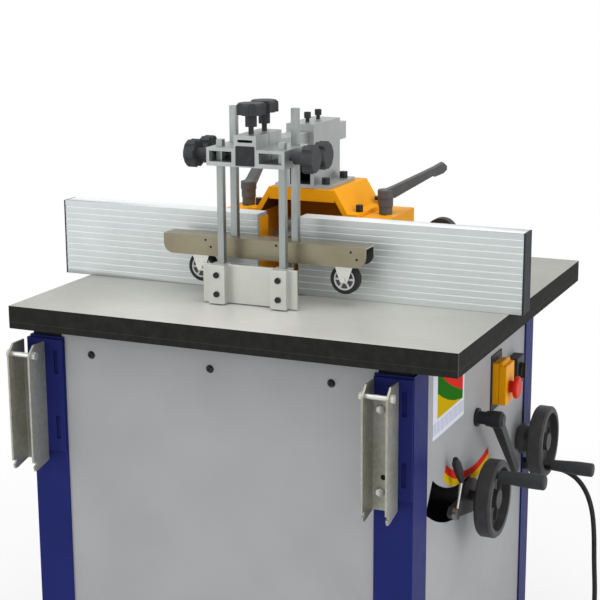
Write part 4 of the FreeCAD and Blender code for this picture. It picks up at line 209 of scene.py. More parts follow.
def groundTable(spec):
    paint = Paint("tableGround", shine=0.02)
    up = paint.facing()[2]
    top = up > 0.5
    grind = paint.noise(700, 3, 0.6, (0.04, 1, 1))
    stain = paint.spread(paint.noise(4.5, 4, 0.6), 0, 1, 0.35, 0.75)
    spot = paint.axes(paint.place())
    away = paint.reach(spot[0] - spec["rubAndLightAt"][0], spot[1] - spec["rubAndLightAt"][1])
    away = away + (paint.noise(5, 3) - 0.5) * spec["drift"]
    dullAndShaded = paint.spread(away, 0, 1, *spec["rubAndLightReach"])  # painted light: lighter round the middle and darker towards the edges, partly rubbed wear and partly painted light
    rubbedAndLit = paint.mix(stain, rgb(0.66, 0.66, 0.62), rgb(0.58, 0.579, 0.541))
    bright = paint.mix(dullAndShaded, rubbedAndLit, paint.mix(stain, rgb(0.418, 0.418, 0.392), rgb(0.367, 0.366, 0.342)))
    speck = paint.spread(paint.noise(900, 2), 0, 0.12, 0.55, 0.8)
    bright = paint.mix(speck, bright, rgb(0.22, 0.22, 0.21))
    cloud = paint.spread(paint.noise(60, 4), 0, 1, 0.4, 0.8)
    dark = paint.mix(cloud, rgb(0.020, 0.020, 0.019), rgb(0.029, 0.029, 0.028))
    castLine = (spot[2] > spec["castLine"][0]) * (spot[2] < spec["castLine"][1])  # the casting's parting line
    dark = paint.mix(castLine * 0.35, dark, rgb(0.09, 0.09, 0.088))
    paint.bump(paint.mix(top, paint.noise(420, 4), grind), 0.00006)
    paint.plug(paint.shader.inputs["Metallic"], top * 0.35)
    return paint.finish(paint.mix(top, dark, bright), paint.spread(grind, 0.34, 0.5) + (1 - top) * 0.15)


def zincPlate():
    paint = Paint("zincPlate", metallic=0.55, shine=0.3)
    flake = paint.node("ShaderNodeTexVoronoi", {}, {"Vector": paint.place(), "Scale": 160.0}, output="Color")
    tint = paint.spread(paint.noise(9, 4), 0, 1, 0.35, 0.7)
    tone = paint.mix(tint, rgb(0.41, 0.415, 0.375), rgb(0.33, 0.322, 0.235))
    tone = paint.mix(0.14, tone, flake * 0.7)
    paint.bump(paint.noise(500, 3), 0.00004)
    return paint.finish(tone, paint.spread(paint.noise(120, 3), 0.3, 0.48))


def chartPrint(spec):
    paint = Paint("chartPrint", shine=0.0)
    spot = paint.axes(paint.place())
    across = spec["right"] - spot[1]  # nought at the right end of the field
    wobble = (paint.noise(95, 1) - 0.5) * 0.007
    height = spot[2] + wobble
    slow, fast = [height > across * across * bend + across * slope + spec["low"] + rise
                  for bend, slope, rise in (spec["slow"], spec["fast"])]
    field = paint.mix(slow, rgb(0.62, 0.41, 0.008), rgb(0.028, 0.165, 0.016))
    field = paint.mix(fast, field, rgb(0.72, 0.040, 0.030))
    cells = paint.node("ShaderNodeMath", {"operation": "FRACT"}, {0: spot[1] * spec["rules"]})
    ruled = (cells < spec["ruleShare"]) * (spot[2] > spec["ruled"][0]) * (spot[2] < spec["ruled"][1])
    sheet = paint.mix(ruled * 0.9, rgb(0.74, 0.76, 0.86), rgb(0.36, 0.39, 0.52))
    inside = (spot[1] > spec["left"]) * (spot[1] < spec["right"]) * (spot[2] > spec["low"])
    return paint.finish(paint.mix(inside, sheet, field), paint.spread(paint.noise(200), 0.3, 0.4))


def scalePrint(spec):
    paint = Paint("scalePrint", shine=0.0)
    spot = paint.axes(paint.place((1, 1, 1), (0, -spec["centre"][0], -spec["centre"][1])))
    outer = paint.reach(spot[1], spot[2]) > spec["split"]
    tone = paint.mix(outer, rgb(0.70, 0.035, 0.025), rgb(0.66, 0.43, 0.010))
    return paint.finish(tone, paint.spread(paint.noise(200), 0.3, 0.4))


# the colour fields' curves are bend, slope and rise; the scale's angles are in degrees
chart = {"x": (0.37105, 0.37145), "y": (-0.208, -0.024), "z": (0.652, 0.812), "corner": 0.004, "left": -0.183,
         "right": -0.033, "low": 0.688, "slow": (1.52, 0.10, 0.0), "fast": (1.36, 0.28, 0.018), "rules": 130,
         "ruleShare": 0.40, "ruled": (0.660, 0.683)}
scale = {"x": 0.3711, "centre": (0.065, 0.870), "inner": 0.346, "split": 0.361, "outer": 0.376, "from": -33.5,
         "to": 13.5, "steps": 120, "slot": 0.3552, "slotEnd": 4.8, "thick": 0.0003}
finishes = {
    "table": groundTable(tableTop),
    "zinc": zincPlate(),
    "grey": sprayedPaint("cabinetGrey", (0.40, 0.405, 0.415), (0.37, 0.375, 0.385)),
    "blue": sprayedPaint("cabinetBlue", (0.016, 0.022, 0.128), (0.020, 0.026, 0.148), 0.36, shine=0.03),
    "black": sprayedPaint("blackPaint", (0.012, 0.012, 0.013), (0.018, 0.018, 0.019), 0.5),
    "yellow": sprayedPaint("guardYellow", (0.90, 0.385, 0.008), (0.84, 0.35, 0.006), 0.38, 0.00008, 0.04),
    "fence": brushedMetal("fenceAluminium", (0.58, 0.61, 0.61), (0.54, 0.57, 0.57), (0.03, 1, 1), 0.4, 0.5),
    # painted highlight: near-white lines for the fence's grooves and its top edge
    "paintedGlint": brushedMetal("fencePaintedHighlights", (0.88, 0.92, 0.93), (0.84, 0.88, 0.89), (0.03, 1, 1), 0.4, 0.2),
    "casting": tumbledCasting("guardCasting", (0.38, 0.40, 0.395), (0.33, 0.35, 0.345)),
    "shoe": brushedMetal("shoeAluminium", (0.54, 0.55, 0.51), (0.48, 0.49, 0.455), (1, 1, 0.05), 0.42, 0.6),
    "bar": brushedMetal("squareBar", (0.32, 0.345, 0.335), (0.27, 0.295, 0.285), (1, 1, 0.03), 0.36, 0.85),
    "roller": brushedMetal("rollerChannel", (0.27, 0.245, 0.172), (0.22, 0.197, 0.132), (0.03, 1, 1), 0.36,
                           0.8),
    "steel": brushedMetal("brightSteel", (0.38, 0.38, 0.37), (0.33, 0.33, 0.32), (1, 1, 0.1), 0.28, 0.95),
    "iron": tumbledCasting("darkIron", (0.05, 0.05, 0.054), (0.075, 0.075, 0.08), 0.5, 0.4),
    "plastic": grainedPlastic("blackPlastic", (0.020, 0.021, 0.023), (0.034, 0.035, 0.038)),
    "grip": grainedPlastic("gripPlastic", (0.036, 0.038, 0.042), (0.050, 0.052, 0.057), 0.55),
    "wheel": grainedPlastic("wheelPlastic", (0.040, 0.040, 0.042), (0.058, 0.058, 0.061), 0.5),
    "lever": grainedPlastic("leverCasting", (0.092, 0.094, 0.096), (0.120, 0.122, 0.125), 0.5),
    "rubber": grainedPlastic("blackRubber", (0.018, 0.018, 0.019), (0.030, 0.030, 0.031), 0.62),
    "rim": grainedPlastic("rollerRim", (0.55, 0.56, 0.55), (0.45, 0.46, 0.45), 0.4),
    "switch": glossMoulding("switchYellow", (0.93, 0.40, 0.006), (0.88, 0.37, 0.005)),
    "red": glossMoulding("buttonRed", (0.70, 0.030, 0.022), (0.62, 0.025, 0.018)),
    "green": glossMoulding("buttonGreen", (0.03, 0.32, 0.06), (0.025, 0.27, 0.05)),
    "cap": sprayedPaint("capPlastic", (0.031, 0.033, 0.038), (0.037, 0.039, 0.045), 0.5),
    "motor": sprayedPaint("motorPaint", (0.16, 0.17, 0.18), (0.13, 0.14, 0.15)),
    # worn grey: painted highlight on the table's corners, and the roller channel's inside
    "worn": sprayedPaint("edgeWearAndHighlight", (0.080, 0.080, 0.078), (0.055, 0.055, 0.053)),
    "bolt": brushedMetal("boltZinc", (0.66, 0.67, 0.63), (0.58, 0.59, 0.55), (1, 1, 0.2), 0.32, 0.7),
    # painted shade: dark brown for the hood's inside faces
    "shade": sprayedPaint("hoodPaintedShade", (0.16, 0.055, 0.004), (0.12, 0.04, 0.003), 0.6),
    "chart": chartPrint(chart),
    "scale": scalePrint(scale),
}
print("finishes made:", len(finishes))


shading = {"sharp": 32, "flatWeight": 90}  # edges past this angle stay sharp, large faces stay flat


def bodyOf(name):
    return nodes[name]["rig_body"]


def settle(piece, body):
    for face in piece.data.polygons:
        face.use_smooth = True
    piece.data.set_sharp_from_angle(angle=math.radians(shading["sharp"]))
    flat = piece.modifiers.new("flatFaces", "WEIGHTED_NORMAL")
    flat.keep_sharp = True
    flat.weight = shading["flatWeight"]
    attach(piece, body)
    return piece


def openWeb(form, look):  # the brackets' webs end below their cross bolts
    front, rear = look["webSpan"]
    foot = look["webTop"]
    top = max(vert.co.z for vert in form.verts)
    cuts = [((x, 0, 0), (1, 0, 0)) for pair in look["webSides"] for x in pair] + [((0, 0, foot), (0, 0, 1))]
    for spot, normal in cuts:
        bmesh.ops.bisect_plane(form, geom=form.verts[:] + form.edges[:] + form.faces[:], dist=0.00001,
                               plane_co=spot, plane_no=normal)
    for low, high in look["webSides"]:
        gone = [face for face in form.faces for spot in [face.calc_center_median()]
                if low < spot.x < high and spot.y > front - look["webSlack"] and spot.z > foot]
        bmesh.ops.delete(form, geom=gone, context="FACES")
        walls = [[(x, front, foot), (x, front, top), (x, rear, top), (x, rear, foot)] for x in (low, high)]
        walls.append([(low, front, foot), (high, front, foot), (high, rear, foot), (low, rear, foot)])
        for wall in walls:
            corners = [min(form.verts, key=lambda vert: (vert.co - Vector(spot)).length) for spot in wall]
            bmesh.ops.contextual_create(form, geom=corners)
    bmesh.ops.recalc_face_normals(form, faces=form.faces)


def softened(name, look):
    mesh = nodes[name].data.copy()
    form = bmesh.new()
    form.from_mesh(mesh)
    bmesh.ops.remove_doubles(form, verts=form.verts, dist=0.000002)
    bmesh.ops.dissolve_limit(form, angle_limit=math.radians(0.4), verts=form.verts, edges=form.edges)
    if "webTop" in look:
        openWeb(form, look)
    limit = math.radians(look.get("from", 35))
    edges = [edge for edge in form.edges if len(edge.link_faces) == 2 and edge.calc_face_angle(0) > limit]
    if look.get("round", 0) > 0:
        bmesh.ops.bevel(form, geom=edges, offset=look["round"], offset_type="OFFSET", affect="EDGES",
                        segments=look.get("steps", 2), profile=0.5, material=-1, clamp_overlap=True)
    pick = look.get("pick")
    form.normal_update()
    for face in form.faces:
        face.material_index = pick(face.calc_center_median(), face) if pick else 0
    mesh.materials.clear()
    for key in look["coats"]:
        mesh.materials.append(finishes[key])
    form.to_mesh(mesh)
    form.free()
    piece = bpy.data.objects.new(name + ".piece", mesh)
    collection.objects.link(piece)
    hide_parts(name)
    return settle(piece, bodyOf(name))


# where a second or third coat begins on a piece; each pick takes a face's centre and the face
columnHollow = {"half": 0.0225, "y": (0.0415, 0.17), "z": (1.0685, 1.1285)}
tableCorner = {"x": (-0.427, 0.467), "lean": 0.2}
fenceFace = {"groove": (-0.0698, -0.0682), "top": 1.0232, "caps": (-0.4828, 0.4938)}
hoodHollow = {"half": 0.098, "lean": 0.609, "foot": 1.006, "top": 1.056, "y": (0.049, 0.218)}
rollerBar = {"middle": -0.126, "bars": 0.9895, "top": 0.9875, "side": 0.0200, "liningTop": 0.9855,
             "lining": 0.0175}
doorPull = {"x": -0.4155, "y": 0.2}
switchFront = {"centre": 0.3742, "corner": 0.3741}
roller = {"axis": {"left": (-0.134, 0.924), "right": (0.167, 0.924)}, "middle": -0.126, "rim": 0.02103,
          "disc": 0.007, "discSlack": 0.0004}


def between(value, span):
    return span[0] < value < span[1]


def above(axis, level):
    return lambda spot, face: int(spot["xyz".index(axis)] > level)


def below(axis, level):
    return lambda spot, face: int(spot["xyz".index(axis)] < level)


# painted shade: black on the faces inside the column's open front
def columnShadeFaces(spot, face):
    return int(abs(spot.x) < columnHollow["half"] and between(spot.y, columnHollow["y"])
               and between(spot.z, columnHollow["z"]))


def cornerHighlight(spot, face):  # painted highlight: a lighter grey coat on the table's upright rounded corners
    across, back, up = [abs(part) for part in face.normal]
    corner = across > tableCorner["lean"] and back > tableCorner["lean"] and up < tableCorner["lean"]
    return int(corner and not between(spot.x, tableCorner["x"]))


def fenceCoat(spot, face):  # end caps, and painted highlights on the grooves and along the top
    if not between(spot.x, fenceFace["caps"]):
        return 1
    return 2 * int(between(spot.y, fenceFace["groove"]) or spot.z > fenceFace["top"])


# painted shade: the hood's inside faces take the dark brown coat
def hoodShadeFaces(spot, face):
    half = hoodHollow["half"] - hoodHollow["lean"] * (spot.z - hoodHollow["foot"])  # in the leaning wall
    return int(abs(spot.x) < half and spot.z < hoodHollow["top"] and between(spot.y, hoodHollow["y"]))


def barCoat(spot, face):  # channel, square bars, forks and the channel's inside
    off = abs(spot.y - rollerBar["middle"])
    if spot.z > rollerBar["bars"]:
        return 1
    if off > rollerBar["side"] or spot.z > rollerBar["top"]:
        return 0
    return 3 if off > rollerBar["lining"] or spot.z > rollerBar["liningTop"] else 2


def pullCoat(spot, face):
    return int(spot.x < doorPull["x"] and spot.y < doorPull["y"])


def switchCoat(spot, face):
    return int(spot.x > switchFront["centre"] and face.verts[0].co.x > switchFront["corner"])


def rollerCoat(side):
    x, z = roller["axis"][side]

    def pick(spot, face):  # tyre outside the rim, dark discs inside it
        if math.hypot(face.verts[0].co.x - x, face.verts[0].co.z - z) > roller["rim"]:
            return 1
        return 2 * int(abs(abs(spot.y - roller["middle"]) - roller["disc"]) < roller["discSlack"])
    return pick


looks = {
    # painted highlight: the table's upright corners take the lighter worn coat
    "table": {"coats": ["table", "worn"], "round": 0.0016, "pick": cornerHighlight},
    "table_rings": {"coats": ["steel"], "round": 0.0006},
    "front_panel": {"coats": ["grey"], "round": 0.0006},
    "rear_panel": {"coats": ["grey"], "round": 0.0006},
    "right_panel": {"coats": ["grey"], "round": 0.0004},
    "access_door": {"coats": ["grey", "plastic"], "round": 0.0006, "pick": pullCoat},
    "corner_posts": {"coats": ["blue", "black"], "round": 0.0015, "pick": above("z", 0.8055)},  # spacers
    "bracket_carriers": {"coats": ["blue"], "round": 0.0010},
    "hanger_brackets": {"coats": ["zinc"], "round": 0.0012, "webTop": 0.761, "webSpan": (-0.329, -0.325),
                        "webSides": [(-0.426, -0.384), (0.302, 0.344)], "webSlack": 0.0002},
    "base_plate": {"coats": ["blue"], "round": 0.0010},
    "cabinet_screws": {"coats": ["bolt", "plastic"], "round": 0.0006, "pick": above("y", -0.322)},  # panel's
    "fence_plate_left": {"coats": ["fence", "cap", "paintedGlint"], "round": 0.0003, "pick": fenceCoat},
    "fence_plate_right": {"coats": ["fence", "cap", "paintedGlint"], "round": 0.0003, "pick": fenceCoat},
    "fence_carrier_left": {"coats": ["yellow"], "round": 0.0030, "steps": 3},
    "fence_carrier_right": {"coats": ["yellow"], "round": 0.0030, "steps": 3},
    "extraction_base": {"coats": ["yellow"], "round": 0.0020, "steps": 3},
    # painted shade: the hood's inside takes the dark brown coat
    "hood": {"coats": ["yellow", "shade"], "round": 0.0030, "steps": 3, "pick": hoodShadeFaces},
    # painted shade: black inside the column's hollow front
    "column": {"coats": ["casting", "black"], "round": 0.0022, "steps": 3, "pick": columnShadeFaces},
    "guard_arm": {"coats": ["casting", "plastic"], "round": 0.0008, "pick": below("y", -0.2111)},  # end cap
    "clamp_block_front": {"coats": ["casting"], "round": 0.0010},
    "clamp_block_rear": {"coats": ["casting"], "round": 0.0010},
    "pressure_shoe": {"coats": ["shoe", "bar"], "round": 0.0010, "pick": above("z", 0.9475)},
    "roller_bar": {"coats": ["roller", "bar", "bolt", "worn"], "round": 0.0010, "pick": barCoat},
    "guard_bolts": {"coats": ["plastic"], "round": 0.0008},
    "clamp_lever_left": {"coats": ["lever"], "round": 0.0030, "steps": 3},
    "clamp_lever_right": {"coats": ["lever"], "round": 0.0030, "steps": 3},
    "fence_adjuster": {"coats": ["plastic"], "round": 0.0010},
    "lock_lever": {"coats": ["plastic"], "round": 0.0024, "steps": 3},
    "index_lever": {"coats": ["plastic", "steel"], "round": 0.0012, "pick": below("z", 0.5385)},  # bare rod
    "height_wheel": {"coats": ["wheel"], "round": 0.0010},
    "tilt_wheel": {"coats": ["wheel"], "round": 0.0010},
    "height_wheel_handle": {"coats": ["grip"], "round": 0.0012},
    "tilt_wheel_handle": {"coats": ["grip"], "round": 0.0012},
    "switch_housing": {"coats": ["plastic", "switch"], "round": 0.0015, "pick": switchCoat},
    "switch_flap": {"coats": ["switch"], "round": 0.0030, "steps": 3},
    "stop_button": {"coats": ["red"], "round": 0.0015, "steps": 3},
    "selector_box": {"coats": ["plastic"], "round": 0.0020},
    "selector_knob": {"coats": ["plastic"], "round": 0.0010},
    "side_bearings": {"coats": ["iron"], "round": 0.0010},
    "cable_gland": {"coats": ["plastic"], "round": 0.0010},
    "mains_plug": {"coats": ["plastic", "steel"], "round": 0.0025, "steps": 3,
                   "pick": below("y", 0.1735)},  # pins
}
for side in roller["axis"]:
    looks["roller_" + side] = {"coats": ["rim", "rubber", "iron"], "round": 0.0006, "pick": rollerCoat(side)}
for knob in ("side_knob_front_left", "side_knob_front_right", "side_knob_rear_left", "side_knob_rear_right",
             "top_knob_front", "top_knob_rear"):
    looks[knob] = {"coats": ["grip"], "round": 0.0040, "steps": 4}
pieces = {name: softened(name, look) for name, look in looks.items()}
for name, key in {"tilt_guides": "iron", "trunnion": "iron", "quill": "iron", "motor": "motor",
                  "motor_pulley": "iron", "drive_belt": "rubber", "spindle": "steel", "spacer_rings": "steel",
                  "start_button": "green"}.items():
    nodes[name].data.materials.clear()
    nodes[name].data.materials.append(finishes[key])
print("pieces dressed:", len(pieces))


# mains lead: straight out of the gland, down, and a put-away coil on the floor
lead = {"route": [(410, 415, 412), (447, 415, 412), (485, 415, 401), (512, 415, 374), (529, 415.5, 332),
                  (536, 417, 279), (538, 420, 205), (542.5, 423, 125), (542, 417, 66), (541.5, 389, 29),
                  (541, 348, 17.4), (541, 307.5, 17.4)],
        "coilCentre": (463, 296), "coilRadius": 78, "pitch": 11.6, "low": 5.8, "high": 17.4, "turns": 3,
        "tail": (12, 60), "perHalf": 9, "diameter": 0.011, "length": 2.915}


def coilPoints(spec):
    points = []
    centreX, centreY = spec["coilCentre"]
    halves = 4 * spec["turns"]
    x = spec["coilRadius"]
    for count in range(halves):  # from the top layer's outer end, in, down, and out on the floor
        inward = count < 2 * spec["turns"]
        step = count + 1 if inward else halves - 1 - count
        radius = spec["coilRadius"] - step * spec["pitch"] / 2
        side = -1 if count % 2 == 0 else 1
        end = x - 2 * radius * (1 if count % 2 == 0 else -1)
        middle = (x + end) / 2
        fall = count == 2 * spec["turns"] - 1
        z0 = spec["high"] if count < 2 * spec["turns"] else spec["low"]
        z1 = spec["low"] if fall else z0
        reach = radius / math.cos(math.pi / spec["perHalf"] / 2)
        for place in range(spec["perHalf"]):
            share = (place + 0.5) / spec["perHalf"]
            angle = math.pi * share
            points.append((centreX + middle + math.copysign(1, x - middle) * reach * math.cos(angle),
                           centreY + side * reach * math.sin(angle),
                           z0 + (z1 - z0) * (1 - math.cos(angle)) / 2))
        x = end
    return points + [(centreX + x, centreY - away, spec["low"]) for away in spec["tail"]]


def mainsLead(spec):
    curve = bpy.data.curves.new("mainsLead", "CURVE")
    curve.dimensions = "3D"
    route = [Vector(point) / 1000 for point in spec["route"] + coilPoints(spec)]
    spline = curve.splines.new("NURBS")
    spline.points.add(len(route) - 1)
    for point, spot in zip(spline.points, route):
        point.co = (*spot, 1)
    spline.order_u = 3
    spline.use_endpoint_u = True
    spline.resolution_u = 6
    curve.bevel_depth = spec["diameter"] / 2
    curve.bevel_resolution = 4
    curve.use_fill_caps = True
    piece = bpy.data.objects.new("mainsLead", curve)
    collection.objects.link(piece)
    curve.materials.append(finishes["rubber"])
    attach(piece, "cabinet")
    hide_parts("mains_lead", "lead_coil")
    return piece


mainsLead(lead)
print("mains lead laid")


def kept(name, form, coat, body, slot):
    mesh = bpy.data.meshes.new(name)
    form.to_mesh(mesh)
    form.free()
    mesh.materials.append(finishes[coat])
    piece = bpy.data.objects.new(name, mesh)
    collection.objects.link(piece)
    return settle(piece, body)


# thin things that only the scene has: screws, printed plates and the coil's tie
screws = {
    "shoeScrews": {"spots": [(x, z) for x in (-0.064, 0.064) for z in (0.928, 0.891)], "face": -0.211,
                   "radius": 0.0062, "rise": 0.0042, "sides": 32, "socket": 0.5, "coat": "plastic",
                   "body": "pressure_shoe", "slot": "black_plastic"},
    "webBolts": {"spots": [(x, z) for x in (-0.3985, 0.3165) for z in (0.7427, 0.5888)], "face": -0.329,
                 "radius": 0.0095, "rise": 0.0062, "sides": 6, "socket": 0.3, "coat": "bolt",
                 "body": "cabinet", "slot": "zinc"},
    # painted shade: flat black discs stand for the dark inside the brackets' holes
    "webHoles": {"spots": [(-0.3985, 0.6165), (0.3215, 0.6165)], "face": -0.329, "radius": 0.0052,
                 "rise": 0.0004, "sides": 24, "socket": 0.4, "coat": "black", "body": "cabinet",
                 "slot": "black_plastic"},
    "barRivets": {"spots": [(-0.118, 0.981), (-0.107, 0.968), (0.0324, 0.9806), (0.185, 0.9795),
                            (0.197, 0.966)], "face": -0.148, "radius": 0.0024, "rise": 0.0005, "sides": 20,
                  "socket": 0.45, "coat": "black", "body": "roller_bar", "slot": "black_plastic"},
    "panelSockets": {"spots": [(-0.281, 0.775), (-0.027, 0.775), (0.216, 0.775)], "face": -0.321,
                     "radius": 0.0030, "rise": 0.0004, "sides": 6, "socket": 0.0, "coat": "black",
                     "body": "cabinet", "slot": "black_plastic"},
}
headShares = {"crown": 0.86, "socketRim": 0.42, "edge": 0.15}  # shares of a head's radius or rise


def screwHeads(name, spec):  # heads that face the operator
    form = bmesh.new()
    for x, z in spec["spots"]:
        place = Matrix.Translation((x, spec["face"], z)) @ Matrix.Rotation(math.radians(90), 4, "X")
        made = bmesh.ops.create_cone(form, cap_ends=True, segments=spec["sides"], radius1=spec["radius"],
                                     radius2=spec["radius"] * headShares["crown"], depth=spec["rise"],
                                     matrix=place @ Matrix.Translation((0, 0, spec["rise"] / 2)))
        if spec["socket"]:
            faces = [face for vert in made["verts"] for face in vert.link_faces]
            top = min(faces, key=lambda face: face.calc_center_median().y)
            bmesh.ops.inset_individual(form, faces=[top], thickness=spec["radius"] * headShares["socketRim"],
                                       use_even_offset=True)
            bmesh.ops.translate(form, verts=top.verts, vec=-top.normal * spec["rise"] * spec["socket"])
    rims = [edge for edge in form.edges if len(edge.link_faces) == 2 and edge.calc_face_angle(0) > 0.9]
    bmesh.ops.bevel(form, geom=rims, offset=spec["rise"] * headShares["edge"], offset_type="OFFSET",
                    affect="EDGES", segments=2, profile=0.5, material=-1, clamp_overlap=True)
    return kept(name, form, spec["coat"], spec["body"], spec["slot"])


def block(form, spans):  # a box between the two ends of each span
    made = bmesh.ops.create_cube(form, size=1)["verts"]
    bmesh.ops.scale(form, verts=made, vec=[high - low for low, high in spans])
    bmesh.ops.translate(form, verts=made, vec=[(low + high) / 2 for low, high in spans])
    return made


def thicken(form, wall):  # solidify's order of faces changes each run, so they are laid again in a fixed one
    bmesh.ops.solidify(form, geom=form.faces, thickness=wall)
    loops = []
    for face in form.faces:
        spots = [tuple(vert.co) for vert in face.verts]
        start = spots.index(min(spots))
        loops.append(spots[start:] + spots[:start])
    form.clear()
    verts = {spot: form.verts.new(spot) for spot in sorted({spot for spots in loops for spot in spots})}
    for spots in sorted(loops):
        form.faces.new([verts[spot] for spot in spots])


def printedChart(spec):
    form = bmesh.new()
    block(form, (spec["x"], spec["y"], spec["z"]))
    thick = spec["x"][1] - spec["x"][0]
    posts = [edge for edge in form.edges if abs(edge.verts[0].co.x - edge.verts[1].co.x) > thick / 2]
    bmesh.ops.bevel(form, geom=posts, offset=spec["corner"], offset_type="OFFSET", affect="EDGES", segments=5,
                    profile=0.5, material=-1)
    return kept("speedChart", form, "chart", "cabinet", "switch_yellow")


def printedScale(spec):
    form = bmesh.new()
    y, z = spec["centre"]
    first = math.radians(spec["from"])
    rail = [form.verts.new((spec["x"], y + reach * math.sin(first), z - reach * math.cos(first)))
            for reach in (spec["inner"], spec["split"], spec["outer"])]
    edges = [form.edges.new(pair) for pair in zip(rail, rail[1:])]
    bmesh.ops.spin(form, geom=rail + edges, cent=(spec["x"], y, z), axis=(1, 0, 0), steps=spec["steps"],
                   angle=math.radians(spec["to"] - spec["from"]))
    for vert in form.verts:  # the sheet ends at the edge of the arc slot
        reach = math.hypot(vert.co.y, vert.co.z - z)
        if reach > spec["slot"] and math.atan2(vert.co.y, z - vert.co.z) < math.radians(spec["slotEnd"]):
            vert.co.y *= spec["slot"] / reach
            vert.co.z = z + (vert.co.z - z) * spec["slot"] / reach
    bmesh.ops.dissolve_degenerate(form, dist=0.00002, edges=form.edges)
    bmesh.ops.recalc_face_normals(form, faces=form.faces)
    if sum(face.normal.x for face in form.faces) < 0:
        bmesh.ops.reverse_faces(form, faces=form.faces)
    thicken(form, -spec["thick"])
    return kept("tiltScale", form, "scale", "cabinet", "switch_yellow")


tie = {"x": (0.3787, 0.4145), "y": (0.291, 0.301), "z": (0.00003, 0.0237), "corner": 0.0055, "wall": 0.00025,
       "head": (0.0075, 0.0064, 0.0046), "headAt": 0.018, "headRound": 0.0008}


def coilTie(spec):
    form = bmesh.new()
    block(form, (spec["x"], spec["y"], spec["z"]))
    ends = [face for face in form.faces if abs(face.normal.y) > 0.5]
    bmesh.ops.delete(form, geom=ends, context="FACES_ONLY")
    runs = [edge for edge in form.edges if abs(edge.verts[0].co.y - edge.verts[1].co.y) > 0.001]
    bmesh.ops.bevel(form, geom=runs, offset=spec["corner"], offset_type="OFFSET", affect="EDGES", segments=6,
                    profile=0.5, material=-1)
    bmesh.ops.recalc_face_normals(form, faces=form.faces)
    thicken(form, spec["wall"])
    middle = (spec["x"][0] + spec["headAt"], sum(spec["y"]) / 2, spec["z"][1] + spec["head"][2] / 2)
    head = block(form, [(at - size / 2, at + size / 2) for at, size in zip(middle, spec["head"])])
    rims = list(dict.fromkeys(edge for vert in head for edge in vert.link_edges))
    bmesh.ops.bevel(form, geom=rims, offset=spec["headRound"], offset_type="OFFSET", affect="EDGES",
                    segments=2, profile=0.5, material=-1)
    return kept("coilTie", form, "plastic", "cabinet", "black_plastic")


coilTie(tie)
spokes = {"count": 6, "reach": (0.0072, 0.0184), "half": 0.0021, "y": (0.0068, 0.0094), "round": 0.0006}


def rollerSpokes(side, spec):
    form = bmesh.new()
    x, z = roller["axis"][side]
    near, far = spec["y"]
    for span in ((-far, -near), (near, far)):
        for number in range(spec["count"]):
            made = block(form, (spec["reach"], span, (-spec["half"], spec["half"])))
            bmesh.ops.rotate(form, verts=made, cent=(0, 0, 0),
                             matrix=Matrix.Rotation(2 * math.pi * number / spec["count"], 3, "Y"))
    bmesh.ops.bevel(form, geom=form.edges[:], offset=spec["round"], offset_type="OFFSET", affect="EDGES",
                    segments=2, profile=0.5, material=-1)
    bmesh.ops.translate(form, verts=form.verts, vec=(x, roller["middle"], z))
    return kept("rollerSpokes." + side, form, "rim", bodyOf("roller_" + side), "black_rubber")


for side in roller["axis"]:
    rollerSpokes(side, spokes)
for name, spec in screws.items():
    screwHeads(name, spec)
printedChart(chart)
printedScale(scale)
print("screws and plates set")


# camera at the photograph's place, soft studio light, pale floor
view = {"spot": (1.2457, -2.7814, 1.5558), "yaw": 23.85, "pitch": -13.222, "roll": 0.281, "lens": 93.312,
        "sensor": 36, "far": 60}
lamps = {
    "topSheet": {"spot": (0.5, -0.9, 3.6), "aim": (0, 0, 0.9), "size": (3.0, 2.4), "power": 58},
    "frontSheet": {"spot": (-2.6, -3.4, 1.9), "aim": (0, 0, 0.8), "size": (2.2, 2.2), "power": 33},
    "sideSheet": {"spot": (3.6, -0.6, 1.8), "aim": (0.2, 0, 0.8), "size": (2.0, 2.0), "power": 30},
}
backdrop = {"size": 14, "tone": 0.90, "rough": 0.8, "glow": (0.74, 1.0), "fade": (0.6, 1.9), "world": 0.55}


def studioCamera(spec):
    data = bpy.data.cameras.new("studioCamera")
    data.sensor_width = spec["sensor"]
    data.lens = spec["lens"]
    data.clip_end = spec["far"]
    camera = bpy.data.objects.new("studioCamera", data)
    collection.objects.link(camera)
    yaw, pitch, roll = [Matrix.Rotation(math.radians(spec[key]), 3, axis)
                        for key, axis in (("yaw", "Z"), ("pitch", "X"), ("roll", "Y"))]
    turn = yaw @ pitch @ roll
    across, ahead, up = turn.col
    pose = Matrix((across, up, -ahead)).transposed().to_4x4()
    pose.translation = spec["spot"]
    camera.matrix_world = pose
    bpy.context.scene.camera = camera


def softLamp(name, spec):
    data = bpy.data.lights.new(name, "AREA")
    data.shape = "RECTANGLE"
    data.size, data.size_y = spec["size"]
    data.energy = spec["power"]
    lamp = bpy.data.objects.new(name, data)
    collection.objects.link(lamp)
    ahead = Vector(spec["aim"]) - Vector(spec["spot"])
    lamp.matrix_world = Matrix.Translation(spec["spot"]) @ ahead.to_track_quat("-Z", "Y").to_matrix().to_4x4()


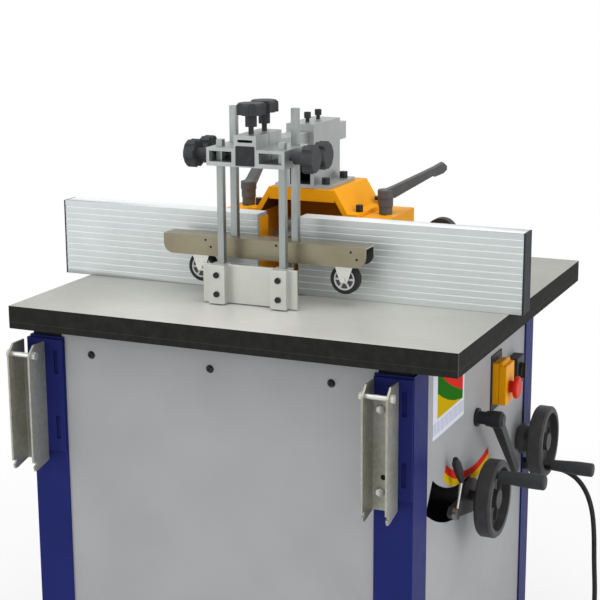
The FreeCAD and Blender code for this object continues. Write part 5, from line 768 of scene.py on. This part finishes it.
def paleBackdrop(spec):
    form = bmesh.new()
    bmesh.ops.create_grid(form, x_segments=1, y_segments=1, size=spec["size"])
    mesh = bpy.data.meshes.new("floorSheet")
    form.to_mesh(mesh)
    form.free()
    floor = bpy.data.objects.new("floorSheet", mesh)
    collection.objects.link(floor)
    paint = Paint("floorPale")
    path = paint.tree.nodes.new("ShaderNodeLightPath")
    seen = Wire(paint, path.outputs["Is Camera Ray"]).most(Wire(paint, path.outputs["Is Glossy Ray"]))
    seen = seen.most(Wire(paint, path.outputs["Is Transmission Ray"]))
    paint.finish(rgb(spec["tone"], spec["tone"], spec["tone"]), spec["rough"])
    glow = paint.node("ShaderNodeEmission", {}, {"Color": rgb(1, 1, 1), "Strength": 1.0})
    shine = Wire(paint, paint.shader.outputs[0])
    spot = paint.axes(paint.place())
    away = paint.reach(spot[0], spot[1])
    bare = paint.spread(away, *spec["glow"], *spec["fade"])  # the shadow fades out away from the cabinet
    shown = paint.node("ShaderNodeMixShader", {}, {0: seen * bare, 1: shine, 2: glow})
    paint.plug(paint.tree.nodes["Material Output"].inputs["Surface"], shown)
    mesh.materials.append(paint.material)
    world = bpy.data.worlds.new("studioWorld")
    world.use_nodes = True
    bpy.context.scene.world = world
    tree = world.node_tree
    path = tree.nodes.new("ShaderNodeLightPath")
    plain = tree.nodes["Background"]
    plain.inputs["Color"].default_value = rgb(1, 1, 1)
    plain.inputs["Strength"].default_value = spec["world"]
    white = tree.nodes.new("ShaderNodeBackground")
    white.inputs["Color"].default_value = rgb(1, 1, 1)
    blend = tree.nodes.new("ShaderNodeMixShader")
    shown = path.outputs["Is Camera Ray"]
    for ray in ("Is Glossy Ray", "Is Transmission Ray"):
        either = tree.nodes.new("ShaderNodeMath")
        either.operation = "MAXIMUM"
        tree.links.new(shown, either.inputs[0])
        tree.links.new(path.outputs[ray], either.inputs[1])
        shown = either.outputs[0]
    tree.links.new(shown, blend.inputs[0])
    tree.links.new(plain.outputs[0], blend.inputs[1])
    tree.links.new(white.outputs[0], blend.inputs[2])
    tree.links.new(blend.outputs[0], tree.nodes["World Output"].inputs["Surface"])


studioCamera(view)
for name, spec in lamps.items():
    softLamp(name, spec)
paleBackdrop(backdrop)
scene = bpy.context.scene
scene.view_settings.view_transform = "Standard"
print("studio set")
